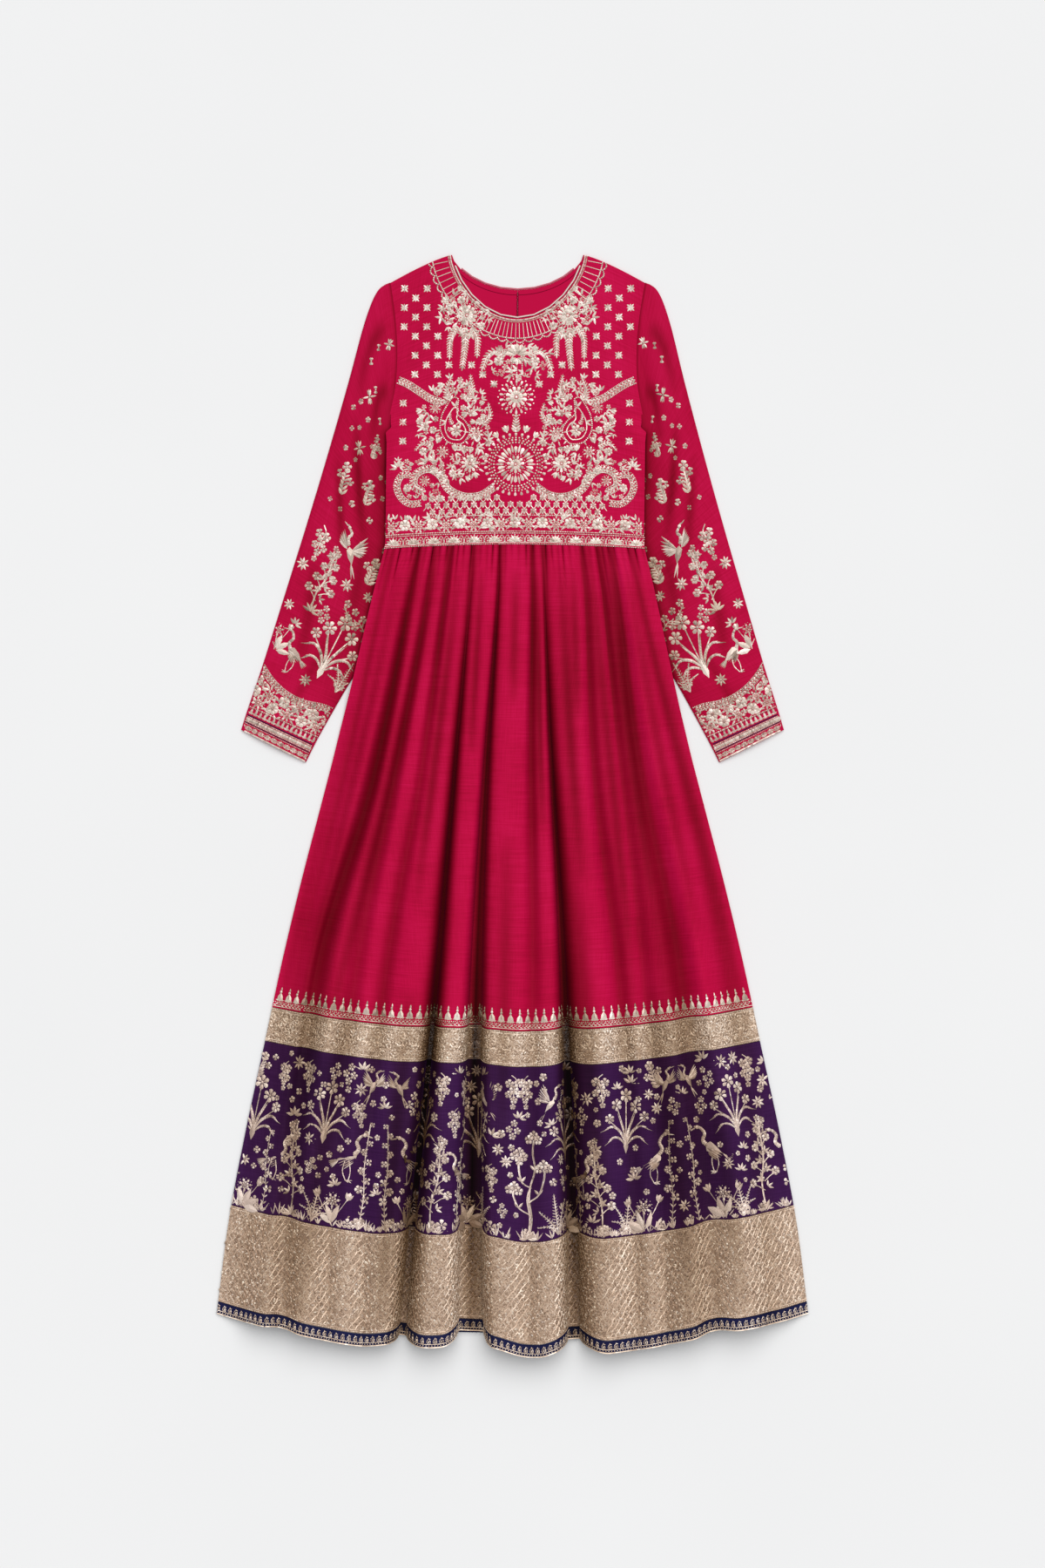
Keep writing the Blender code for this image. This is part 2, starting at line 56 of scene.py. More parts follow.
WAIST_Y = 341.4
SKIRT_LENGTH = 1061.4
WAISTBAND_HEIGHT = 16.0
SKIRT_PANELS = (
    # name, depth down the middle
    ("skirt", 636.0),
    ("upper_band", 46.7),
    ("border", 228.0),
    ("lower_band", 133.7),
    ("hem_band", 17.0),
)
SAG_AT_WAIST = -6.0
SAG_AT_HEM = 55.0
SKIRT_SIDES = (
    # y, half_width
    (336.0, 170.0),
    (279.0, 184.0),
    (142.0, 215.0),
    (28.0, 243.0),
    (-86.0, 273.0),
    (-200.0, 300.5),
    (-314.0, 325.0),
    (-428.0, 349.5),
    (-542.0, 371.0),
    (-665.0, 387.0),
)
LEAN_TOP = 6.8
LEAN_RANGE = 6.8
LEAN_TOP_Y = 678.0
LEAN_HEIGHT = 581.0
NECK_HALF = 86.0
NECK_POINT_Y = 720.0
FRONT_NECK_DEPTH = 83.0
BACK_NECK_DEPTH = 46.0
NECK_ROUNDNESS = 1.3
SHOULDER_TIP = (166.4, 683.4)
SHOULDER_DROOP = 1.25
UNDERARM = (161.1, 511.3)
ARMHOLE_BOW = 7.0
UNDERARM_CLEAR = 1.8
SIDE_HALF = 169.0
SIDE_STEP_TOP = 496.0
SIDE_STEP_BOTTOM = 486.0
SIDE_LEVELS = (400.0, 445.0, 486.0, 491.0, 496.0, 503.0, 510.0)
SLEEVE_RINGS = (
    # outer_x, outer_y, inner_x, inner_y, bow, puff, puffed_share
    (166.4, 683.4, 161.1, 511.3, 7.0, 0.5, 0.60),
    (174.4, 680.0, 163.0, 501.0, 6.0, 1.4, 0.60),
    (182.6, 672.6, 165.0, 487.3, 4.0, 2.4, 0.60),
    (191.3, 654.9, 165.5, 466.8, 2.0, 3.0, 0.60),
    (202.2, 620.7, 161.0, 444.0, 0.0, 3.3, 0.60),
    (219.7, 552.3, 148.0, 398.4, 0.0, 3.5, 0.60),
    (244.8, 461.1, 144.0, 338.0, 0.0, 3.5, 0.65),
    (271.1, 369.9, 157.0, 281.0, 0.0, 3.5, 0.70),
    (298.5, 278.7, 184.0, 213.7, 0.0, 3.5, 0.80),
    (327.1, 184.1, 225.1, 141.9, 0.0, 3.5, 0.95),
    (345.5, 128.0, 255.3, 87.5, 0.0, 3.3, 1.00),
    (354.6, 98.6, 271.0, 56.5, 0.0, 3.2, 1.00),
)
CUFF_FROM_RING = 10
SLEEVE_SIDE_POINTS = 9
TUCK_RAMP = 34.0
TUCK_MARGIN = 12.0
TUCK_TOP = 512.0
TUCK_TOP_RAMP = 15.0
TUCK_BOTTOM = 105.0
TUCK_BOTTOM_RAMP = 50.0
TUCK_CLEAR = 4.4
FOLD_LEVELS = (0.059, 0.295, 0.537, 1.0)
FOLDS = (
    # line at each level, depth at each level, left wall, floor and right wall at the waist,
    # the same at the hem, lift of the hem, spread of the lift
    ((-0.930, -0.920, -0.930, -0.930), (0.25, 0.20, 0.10, 0.05),
     (0.030, 0.004, 0.030), (0.030, 0.004, 0.030), 0.0, 0.03),
    ((-0.733, -0.758, -0.840, -0.780), (0.85, 0.78, 0.60, 0.20),
     (0.040, 0.006, 0.040), (0.110, 0.010, 0.100), 5.0, 0.16),
    ((-0.610, -0.640, -0.677, -0.630), (0.55, 0.30, 0.20, 0.03),
     (0.035, 0.006, 0.035), (0.050, 0.008, 0.050), 0.0, 0.04),
    ((-0.485, -0.502, -0.548, -0.510), (0.75, 0.25, 0.06, 0.03),
     (0.035, 0.006, 0.035), (0.040, 0.006, 0.040), 0.0, 0.04),
    ((-0.310, -0.321, -0.328, -0.372), (0.60, 0.95, 0.95, 0.95),
     (0.035, 0.005, 0.035), (0.060, 0.014, 0.060), 20.0, 0.14),
    ((-0.114, -0.148, -0.157, -0.140), (0.85, 0.95, 0.95, 0.95),
     (0.030, 0.004, 0.030), (0.055, 0.044, 0.034), 32.0, 0.16),
    ((0.128, 0.101, 0.088, 0.050), (0.85, 0.45, 0.18, 0.02),
     (0.030, 0.005, 0.030), (0.050, 0.006, 0.050), 0.0, 0.04),
    ((0.212, 0.218, 0.221, 0.208), (0.70, 0.95, 0.95, 0.95),
     (0.030, 0.004, 0.035), (0.055, 0.022, 0.075), 20.0, 0.1),
    ((0.506, 0.448, 0.460, 0.420), (0.60, 0.35, 0.28, 0.04),
     (0.040, 0.006, 0.045), (0.060, 0.008, 0.060), 0.0, 0.04),
    ((0.630, 0.600, 0.570, 0.520), (0.70, 0.25, 0.15, 0.03),
     (0.035, 0.006, 0.035), (0.050, 0.006, 0.050), 0.0, 0.04),
    ((0.741, 0.713, 0.730, 0.680), (0.65, 0.42, 0.45, 0.22),
     (0.040, 0.008, 0.045), (0.100, 0.012, 0.120), 9.0, 0.26),
    ((0.890, 0.930, 0.925, 0.880), (0.35, 0.30, 0.20, 0.10),
     (0.035, 0.006, 0.035), (0.050, 0.006, 0.050), 0.0, 0.04),
)
DEEP_FOLD = 0.9
STEEP_FOOT = 0.7
WALL_ROOM = 0.45
LIFT_POWER = 3
LIFT_STEP = 0.55
CREST_HEIGHTS = (
    # share of the skirt's length, height of a full crest
    (0.0, 2.0),
    (0.06, 9.0),
    (0.30, 21.0),
    (0.54, 28.0),
    (1.0, 36.0),
)
CREST_DOME = 0.2
SIDE_RISE = 0.2
FULL_CREST_WIDTH = 60.0
EDGE_SOFTNESS = 0.06
WAIST_PUFF = 2.0
GATHERS = 40
GATHER_FADE = 80.0

# --- Finer cloth, laid over the solids' forms -----------------------------------------------

WALL_SHARES = np.array((1.0, 0.78, 0.58, 0.40, 0.25, 0.13, 0.05, 0.0))
CREST_STEPS = (5, 7, 6, 6, 11, 14, 11, 9, 15, 7, 8, 12, 6)
PANEL_ROW_STEPS = (
    # down to this depth, row spacing
    (100.0, 5.0),
    (636.0, 9.0),
)
BAND_ROW_STEP = 8.0
GATHER_HEIGHT = 2.1
GATHER_LENGTHS = (24.0, 120.0)
SKIRT_CREASES = (
    # f at its top, v at its top, f at its foot, v at its foot, depth, half width in mm
    (-0.84, 0.03, -0.885, 0.50, 1.6, 7.0),
    (-0.58, 0.02, -0.760, 0.62, 2.6, 8.0),
    (-0.41, 0.03, -0.450, 0.45, 2.4, 7.0),
    (-0.52, 0.30, -0.580, 0.80, 1.6, 11.0),
    (-0.24, 0.03, -0.235, 0.26, 2.2, 5.0),
    (-0.44, 0.55, -0.450, 0.98, 2.4, 12.0),
    (0.010, 0.03, 0.000, 0.20, 2.0, 6.0),
    (-0.03, 0.35, -0.040, 0.75, 1.8, 10.0),
    (0.165, 0.03, 0.155, 0.35, 2.4, 5.0),
    (0.34, 0.02, 0.330, 0.42, 2.6, 8.0),
    (0.30, 0.40, 0.320, 0.90, 2.0, 12.0),
    (0.43, 0.03, 0.385, 0.22, 2.0, 6.0),
    (0.575, 0.04, 0.520, 0.50, 2.2, 7.0),
    (0.70, 0.03, 0.655, 0.45, 2.0, 7.0),
    (0.83, 0.03, 0.830, 0.50, 1.8, 8.0),
    (0.60, 0.55, 0.610, 0.98, 1.8, 13.0),
    (-0.70, 0.55, -0.720, 0.98, 1.8, 12.0),
    (0.78, 0.60, 0.780, 0.98, 1.6, 12.0),
    (0.955, 0.10, 0.960, 0.75, 1.2, 7.0),
    (-0.965, 0.20, -0.970, 0.85, 1.2, 7.0),
)
BODICE_CREASES = (
    # x, y at one end, x, y at the other, depth, half width in mm
    (-150.0, 500.0, -96.0, 468.0, 0.9, 7.0),
    (150.0, 505.0, 92.0, 480.0, 0.9, 7.0),
    (-158.0, 440.0, -110.0, 420.0, 0.7, 6.0),
    (158.0, 430.0, 118.0, 446.0, 0.7, 6.0),
    (-120.0, 660.0, -138.0, 560.0, 0.8, 9.0),
    (124.0, 660.0, 140.0, 570.0, 0.8, 9.0),
    (-60.0, 400.0, -52.0, 540.0, 0.5, 10.0),
    (64.0, 410.0, 50.0, 530.0, 0.5, 10.0),
)
SLEEVE_CREASES = (
    # ring and share across at one end, the same at the other, depth, half width in mm
    (1.5, 0.30, 5.0, 0.12, 1.0, 8.0),
    (2.0, 0.70, 5.2, 0.40, 1.1, 7.0),
    (3.6, 0.85, 5.8, 0.62, 0.9, 6.0),
    (5.2, 0.20, 6.6, 0.55, 1.3, 7.0),
    (5.9, 0.10, 7.1, 0.42, 1.1, 6.0),
    (6.4, 0.55, 8.4, 0.75, 0.8, 8.0),
    (7.4, 0.18, 8.8, 0.40, 0.9, 8.0),
    (8.2, 0.60, 9.6, 0.50, 0.7, 7.0),
)


def lerp(a, b, t):
    return a + (b - a) * t


def ease(t):
    t = np.clip(t, 0.0, 1.0)
    return t * t * (3.0 - 2.0 * t)


def smooth_curve(rows, x):
    """Values at x of a smooth curve through rows of (position, value), positions rising."""
    place, value = np.array(rows, float).T
    last = len(place) - 1
    before = np.maximum(np.arange(last + 1) - 1, 0)
    after = np.minimum(np.arange(last + 1) + 1, last)
    slope = (value[after] - value[before]) / (place[after] - place[before])
    x = np.clip(x, place[0], place[-1])
    i = np.clip(np.searchsorted(place, x, side="right") - 1, 0, last - 1)
    width = place[i + 1] - place[i]
    t = (x - place[i]) / width
    return (
        value[i] * (1 + 2 * t) * (1 - t) ** 2
        + value[i + 1] * t * t * (3 - 2 * t)
        + width * slope[i] * t * (1 - t) ** 2
        - width * slope[i + 1] * t * t * (1 - t)
    )


def lean(y):
    return LEAN_TOP - LEAN_RANGE * np.clip((LEAN_TOP_Y - y) / LEAN_HEIGHT, 0.0, 1.0)


# --- Skirt form: f is -1 at the left edge and 1 at the right, v runs 0 to 1 down it ----------


def sag(v):
    return lerp(SAG_AT_WAIST, SAG_AT_HEM, v)


def skirt_half(v):
    return smooth_curve(sorted(SKIRT_SIDES), WAIST_Y - SKIRT_LENGTH * v + sag(v))


def fold_line(fold, v):
    return smooth_curve(tuple(zip(FOLD_LEVELS, fold[0])), v)


def fold_lines(v):
    return np.array([-1.0] + [float(fold_line(fold, v)) for fold in FOLDS] + [1.0])


def valley(k, v):
    """Left wall, floor and right wall of a valley, as shares of the skirt's half width."""
    waist, hem = FOLDS[k - 1][2:4]
    return [lerp(a, b, v) for a, b in zip(waist, hem)]


def wall_width(lines, k, side, v):
    """Width of a valley's wall on one side, kept clear of the next valley's wall."""
    left, floor, right = valley(k, v)
    room = WALL_ROOM * abs(lines[k + side] - lines[k]) - floor
    return min(left if side < 0 else right, room)


def wall_widths(off, lines, k, v):
    return np.where(off < 0, wall_width(lines, k, -1, v), wall_width(lines, k, 1, v))


def wall_rise(k, reach):
    """Height up a wall, 0 at its foot to 1: steep at the foot of a deep valley's wall."""
    if FOLDS[k - 1][1][-1] < DEEP_FOLD:
        return ease(reach)
    return 1 - (1 - np.clip(reach, 0.0, 1.0) ** STEEP_FOOT) ** 2


def hem_lift(f, v):
    """How far the valleys draw the cloth up: a step at each wall, and a soft curve beyond."""
    lines = fold_lines(v)
    lift = np.zeros(f.shape)
    for k, fold in enumerate(FOLDS, start=1):
        off = f - lines[k]
        out = np.abs(off) - valley(k, v)[1]
        step = 1 - wall_rise(k, out / wall_widths(off, lines, k, v))
        lift += fold[4] * lerp(1 - ease(out / fold[5]), step, LIFT_STEP)
    return lift * v**LIFT_POWER


def skirt_plan(f, v):
    y = WAIST_Y - SKIRT_LENGTH * v + sag(v) * f * f + hem_lift(f, v)
    return lean(y) + f * skirt_half(v), y


def sleeve_inner_edge(y):
    return smooth_curve(sorted((ring[3], ring[2]) for ring in SLEEVE_RINGS), y)


def back_height(x, y):
    """Middle of the back's wall: flat, but raised where the sides lie on the sleeves."""
    across = np.abs(x - lean(y)) - (sleeve_inner_edge(y) - TUCK_MARGIN - TUCK_RAMP)
    along = ease((TUCK_TOP - y) / TUCK_TOP_RAMP) * ease((y - TUCK_BOTTOM) / TUCK_BOTTOM_RAMP)
    return FLOOR_MID + TUCK_CLEAR * ease(across / TUCK_RAMP) * along


def waist_height(f):
    return LAYER + WAIST_PUFF * ease((1 - np.abs(f)) / EDGE_SOFTNESS)


def height_left(f, v, lines):
    """Share of the crest's height that the valleys leave at f, 1 between them."""
    left = np.ones(f.shape)
    for k, fold in enumerate(FOLDS, start=1):
        off = f - lines[k]
        reach = (np.abs(off) - valley(k, v)[1]) / wall_widths(off, lines, k, v)
        depth = smooth_curve(tuple(zip(FOLD_LEVELS, fold[1])), v)
        left *= 1 - depth * (1 - wall_rise(k, reach))
    return left


def fold_height(f, v):
    """Share of a full crest's height: lower on narrow crests and near the side edges."""
    lines = fold_lines(v)
    crests = np.minimum(1.0, np.diff(lines) * skirt_half(v) / FULL_CREST_WIDTH) ** 0.6
    i = np.clip(np.searchsorted(lines, f, side="right") - 1, 0, len(crests) - 1)
    s = np.clip((f - lines[i]) / (lines[i + 1] - lines[i]), 0.0, 1.0)
    dome = 1 - CREST_DOME * (1 - np.sin(math.pi * s))
    side = ease((1 - np.abs(f)) / SIDE_RISE)
    middles = (lines[1:] + lines[:-1]) / 2
    return side * dome * smooth_curve(tuple(zip(middles, crests)), f) * height_left(f, v, lines)


def gather_height(f, v):
    """Small gathers under the waistband, each with its own height and length."""
    rng = np.random.default_rng(11)
    places = np.linspace(-1, 1, GATHERS * 2 + 1)
    heights = np.interp(f, places, rng.uniform(0.35, 1.0, places.size))
    lengths = np.interp(f, places, rng.uniform(*GATHER_LENGTHS, places.size))
    drift = np.interp(f, places[::5], rng.uniform(-0.35, 0.35, places[::5].size))
    fade = np.clip(1 - v * SKIRT_LENGTH / lengths, 0.0, 1.0)
    wave = np.cos(2 * math.pi * (GATHERS * (f + 1) / 2 + drift))
    return GATHER_HEIGHT * heights * fade * (wave - 0.35 * wave * wave)


def crease_depth(creases, x, y, width_scale=1.0):
    """Sum of soft troughs, each along its own line and fading out at both ends."""
    total = np.zeros(np.broadcast(x, y).shape)
    for x0, y0, x1, y1, depth, width in creases:
        run = (x1 - x0) ** 2 + (y1 - y0) ** 2
        t = ((x - x0) * (x1 - x0) + (y - y0) * (y1 - y0)) / run
        off = ((x - x0) * (y1 - y0) - (y - y0) * (x1 - x0)) / math.sqrt(run)
        fade = np.sin(math.pi * np.clip(t, 0.0, 1.0)) ** 0.7
        total += depth * fade * np.exp(-((off * width_scale / width) ** 2))
    return total


def skirt_crease_depth(f, v):
    """The skirt's own troughs; each follows its line straight down the cloth."""
    total = np.zeros(f.shape)
    for f0, v0, f1, v1, depth, width in SKIRT_CREASES:
        t = (v - v0) / (v1 - v0)
        if not 0 < t < 1:
            continue
        off = (f - lerp(f0, f1, t)) * skirt_half(v)
        total += depth * math.sin(math.pi * t) ** 0.6 * np.exp(-((off / width) ** 2))
    return total


def skirt_front_row(f, v):
    x, y = skirt_plan(f, v)
    soft = ease((1 - np.abs(f)) / EDGE_SOFTNESS)
    z = back_height(x, y) + waist_height(f)
    z += smooth_curve(CREST_HEIGHTS, v) * fold_height(f, v)
    z += soft * (gather_height(f, v) - skirt_crease_depth(f, v))
    return np.stack([x, y, z], axis=-1)


def fold_columns(v):
    """Column positions that follow the folds, evenly spaced at the waist."""
    lines = fold_lines(v)
    follow = []
    start = -1.0
    for k, steps in enumerate(CREST_STEPS, start=1):
        if k > len(FOLDS):
            follow += list(np.linspace(start, 1.0, steps + 1))
            break
        floor = valley(k, v)[1]
        left, right = (wall_width(lines, k, side, v) for side in (-1, 1))
        foot, head = lines[k] - floor, lines[k] + floor
        follow += list(np.linspace(start, foot - left, steps, endpoint=False))
        follow += list(foot - left * WALL_SHARES)
        follow += [lines[k]]
        follow += list(head + right * WALL_SHARES[::-1])
        start = head + right + 1e-4
    even = np.linspace(-1, 1, len(follow))
    return lerp(even, np.array(follow), ease(v * SKIRT_LENGTH / GATHER_FADE))


# Painted shade: the light lost in the folds, which lie closer and deeper in the cloth than its thickness
# allows.
FULL_SHADE = 0.90
SHALLOW_POWER = 0.6
# A shade is this share of its fold's width, and is weaker at the waist and at the hem.
SHADE_SPREAD = 0.65
SHADE_REACH = ((0.03, 0.12, 0.54, 1.0), (0.75, 1.0, 1.0, 0.65))
# Folds whose shade leans, by number: above 0 it is sharp on the left and soft on the right.
FOLD_LEANS = {5: 0.3, 6: 0.3, 7: 0.5, 8: 0.5, 9: 0.5, 10: -0.5}
# Painted shade makes the deep folds nearly black inside from the thigh to just above the hem.
CORE_WIDTH = 16.0
CORE_SHADE = 0.82
CORE_REACH = ((0.48, 0.62, 0.80, 0.90, 0.97), (0.0, 1.0, 1.0, 0.6, 0.0))
GATHER_SHADE = 0.82
CREASE_SHADE = 0.20


def skirt_shade(f, v):
    """Painted shade at f, as the share of light lost: the folds, the gathers under the waist and the soft
    creases.
    """
    lit = np.ones(f.shape)
    for number, fold in enumerate(FOLDS):
        depth = np.clip(smooth_curve(tuple(zip(FOLD_LEVELS, fold[1])), v), 0.0, 1.0)
        lost = FULL_SHADE * depth**SHALLOW_POWER * np.interp(v, *SHADE_REACH)
        away = (f - fold_line(fold, v)) * skirt_half(v)
        width = SHADE_SPREAD * sum(valley(number + 1, v)) * skirt_half(v)
        off = away / width / (1 + FOLD_LEANS.get(number, 0.0) * np.sign(away))
        lit *= 1 - lost * np.exp(-2.77 * off * off)
        if fold[1][-1] >= DEEP_FOLD:
            off = away / CORE_WIDTH
            lit *= 1 - CORE_SHADE * np.interp(v, *CORE_REACH) * np.exp(-2.77 * off * off)
    trough = np.clip(-gather_height(f, v) / GATHER_HEIGHT, 0.0, 1.0)
    lit *= 1 - GATHER_SHADE * trough**2.4
    return 1 - lit * np.clip(1 - CREASE_SHADE * skirt_crease_depth(f, v), 0.3, 1.0)


def skirt_shades(depths):
    levels = [d / SKIRT_LENGTH for d in depths]
    return np.array([skirt_shade(fold_columns(v), v) for v in levels])


# --- Bodice form ----------------------------------------------------------------------------


def side_x(y):
    """Half width of the bodice: the side seam, the underarm and the armhole."""
    step = ease((y - SIDE_STEP_BOTTOM) / (SIDE_STEP_TOP - SIDE_STEP_BOTTOM))
    below = lerp(SIDE_HALF, UNDERARM[0] - UNDERARM_CLEAR, step)
    s = np.clip((y - UNDERARM[1]) / (SHOULDER_TIP[1] - UNDERARM[1]), 0.0, 1.0)
    above = lerp(UNDERARM[0], SHOULDER_TIP[0], s) - ARMHOLE_BOW * np.sin(math.pi * s)
    return np.where(y < UNDERARM[1], below, above)


def shoulder_y(x):
    share = np.clip((x - NECK_HALF) / (SHOULDER_TIP[0] - NECK_HALF), 0.0, 1.0)
    return NECK_POINT_Y - (NECK_POINT_Y - SHOULDER_TIP[1]) * share**SHOULDER_DROOP


def neckline(angle, depth):
    """Point of a neckline at an angle from the middle, in degrees, -90 to 90."""
    turn = math.radians(angle)
    drop = depth * max(0.0, math.cos(turn)) ** NECK_ROUNDNESS
    return NECK_HALF * math.sin(turn), NECK_POINT_Y - drop


def waist_top_y(share):
    return WAIST_Y + WAISTBAND_HEIGHT + SAG_AT_WAIST * share * share


def edge_levels():
    """Heights of a bodice piece's rows at its side: the armhole's match the sleeve's ring."""
    turn = LAYER / 2 / math.dist(SHOULDER_TIP, UNDERARM)
    shares = np.linspace(1 - turn, turn, SLEEVE_SIDE_POINTS + 1)
    armhole = lerp(SHOULDER_TIP[1], UNDERARM[1], shares)
    return np.array([waist_top_y(1.0), *SIDE_LEVELS, *armhole[:-1], SHOULDER_TIP[1]])


UNDERARM_COVER = 4.6
UNDERARM_COVER_Y = 501.0
COVER_ABOVE = 34.0
COVER_BELOW = 13.0


def bodice_front_grid(rows=76, neck_step=3, shoulder_steps=12):
    """Rows of points from the shoulders down to the waist, left to right."""
    neck = [neckline(angle, FRONT_NECK_DEPTH) for angle in range(0, 90, neck_step)]
    across = np.linspace(NECK_HALF, SHOULDER_TIP[0], shoulder_steps + 1)
    top_x = np.array([x for x, _ in neck] + list(across))
    top_y = np.array([y for _, y in neck] + list(shoulder_y(across)))
    top_x, top_y = np.r_[-top_x[:0:-1], top_x], np.r_[top_y[:0:-1], top_y]
    levels = edge_levels()
    places = np.linspace(len(levels) - 1, 0, rows)[:, None]
    level = np.interp(places, np.arange(len(levels)), levels)
    v = (level - levels[0]) / (levels[-1] - levels[0])
    share = top_x / SHOULDER_TIP[0]
    x = lerp(SIDE_HALF * share, top_x, v)
    y = lerp(waist_top_y(share), top_y, v)
    x = x + share**3 * (side_x(level) - lerp(SIDE_HALF, SHOULDER_TIP[0], v))
    reach = np.where(y > UNDERARM_COVER_Y, COVER_ABOVE, COVER_BELOW)
    x = x + UNDERARM_COVER * share**9 * np.exp(-(((y - UNDERARM_COVER_Y) / reach) ** 2))
    side = ease((1 - np.minimum(1.0, np.abs(x) / side_x(y))) / EDGE_SOFTNESS)
    puff = WAIST_PUFF * side * np.minimum(1.0, 0.15 + 2.5 * (1 - places / (len(levels) - 1)))
    world_x = x + lean(y)
    z = back_height(world_x, y) + LAYER + puff
    z -= side * crease_depth(BODICE_CREASES, x, y)
    return np.stack([world_x, y, z], axis=-1)


def waistband_grid(columns=200, rows=4):
    f = np.linspace(-1, 1, columns + 1)
    grid = []
    for height in np.linspace(WAISTBAND_HEIGHT - SEAM / 2, SEAM / 2, rows + 1):
        y = WAIST_Y + height + SAG_AT_WAIST * f * f
        half = lerp(SIDE_HALF, skirt_half(0.0), 1 - height / WAISTBAND_HEIGHT)
        x = lean(y) + f * half
        grid.append(np.stack([x, y, back_height(x, y) + waist_height(f)], axis=-1))
    return np.array(grid)


# --- Sleeve form ----------------------------------------------------------------------------


def sleeve_ring(position, side, count=30):
    """Points round the flattened sleeve: over the top from outside to inside, then back."""
    rows = [
        smooth_curve([(k, ring[c]) for k, ring in enumerate(SLEEVE_RINGS)], position)
        for c in range(len(SLEEVE_RINGS[0]))
    ]
    outer_x, outer_y, inner_x, inner_y, bow, puff, puffed = rows
    turn = LAYER / 2 / math.hypot(outer_x - inner_x, outer_y - inner_y)
    share = np.linspace(turn, 1 - turn, count + 1)
    across = np.r_[0.0, share, 1.0, share[::-1]]
    rise = puff * np.maximum(0.0, np.sin(math.pi * np.minimum(1.0, share / puffed)))
    soft = ease(share / 0.1) * ease((1 - share) / 0.1)
    dip = crease_depth(SLEEVE_CREASE_LINES, position * RING_PITCH, share * SLEEVE_WIDTH)
    over = FLOOR_MID + LAYER + rise - soft * np.minimum(dip, 0.8 * rise + 0.15)
    middle = FLOOR_MID + LAYER / 2
    z = np.r_[middle, over, middle, np.full(share.size, FLOOR_MID)]
    x = lerp(outer_x, inner_x, across) - bow * np.sin(math.pi * across)
    y = lerp(outer_y, inner_y, across)
    ring = np.stack([lean(y) + side * x, y, z], axis=-1)
    return ring if side < 0 else ring[::-1]


RING_PITCH = 70.0
SLEEVE_WIDTH = 120.0
SLEEVE_CREASE_LINES = tuple(
    (a * RING_PITCH, b * SLEEVE_WIDTH, c * RING_PITCH, d * SLEEVE_WIDTH, depth, width)
    for a, b, c, d, depth, width in SLEEVE_CREASES
)


# Painted shade on the sleeves: where a sleeve goes in under the body, its cloth loses light beside the
# body's edge; the seam, the creases and the whole sleeve are darkened too.
TUCK_SHADES = ((0.34, 8.0), (0.26, 26.0))
SEAM_SHADE = 0.45
SLEEVE_CREASE_SHADE = 0.40
SLEEVE_DIM = 0.08


def sleeve_shade(ring, position, side, count=30):
    """Painted shade round one ring, as the share of light lost: over the whole sleeve, beside the body's
    edge, along the seam, and in the creases.
    """
    x, y = ring[:, 0] - lean(ring[:, 1]), ring[:, 1]
    edge = np.where(y > WAIST_Y, side_x(y), skirt_half((WAIST_Y - y) / SKIRT_LENGTH))
    off = np.maximum(0.0, np.abs(x) - edge)
    left = np.full(len(ring), 1 - SLEEVE_DIM)
    left *= 1 - SEAM_SHADE * np.exp(-((off / 2.4) ** 2))
    for lost, width in TUCK_SHADES:
        left *= 1 - lost * ease((590 - y) / 110) * np.exp(-((off / width) ** 2))
    share = np.linspace(0.0, 1.0, count + 1)
    dip = crease_depth(SLEEVE_CREASE_LINES, position * RING_PITCH, share * SLEEVE_WIDTH)
    dips = np.zeros(len(ring))
    dips[1 : count + 2] = dip
    return 1 - left * (1 - SLEEVE_CREASE_SHADE * np.clip(dips if side < 0 else dips[::-1], 0, 1.5))


# --- Mesh building --------------------------------------------------------------------------


def run_lengths(grid):
    """Distance along each row from its first point, and down the middle column."""
    steps = np.linalg.norm(np.diff(grid, axis=1), axis=-1)
    across = np.concatenate([np.zeros((len(grid), 1)), np.cumsum(steps, axis=1)], axis=1)
    middle = grid[:, grid.shape[1] // 2]
    down = np.r_[0.0, np.cumsum(np.linalg.norm(np.diff(middle, axis=0), axis=-1))]
    return across, down


def new_mesh_object(name, points, faces, face_uvs, look, **values):
    """A mesh object from points in millimetres, with a UV map and named values at its points."""
    mesh = bpy.data.meshes.new(name)
    mesh.from_pydata((np.asarray(points) * MM).tolist(), [], faces)
    layer = mesh.uv_layers.new(name="cloth")
    layer.data.foreach_set("uv", (np.asarray(face_uvs) * MM).ravel().astype(np.float32))
    for label, numbers in values.items():
        layer = mesh.attributes.new(label, "FLOAT", "POINT")
        layer.data.foreach_set("value", np.asarray(numbers, np.float32).ravel())
    mesh.materials.append(look)
    obj = bpy.data.objects.new(name, mesh)
    bpy.context.scene.collection.objects.link(obj)
    return obj


def choose(obj):
    for other in bpy.context.selected_objects:
        other.select_set(False)
    obj.select_set(True)
    bpy.context.view_layer.objects.active = obj


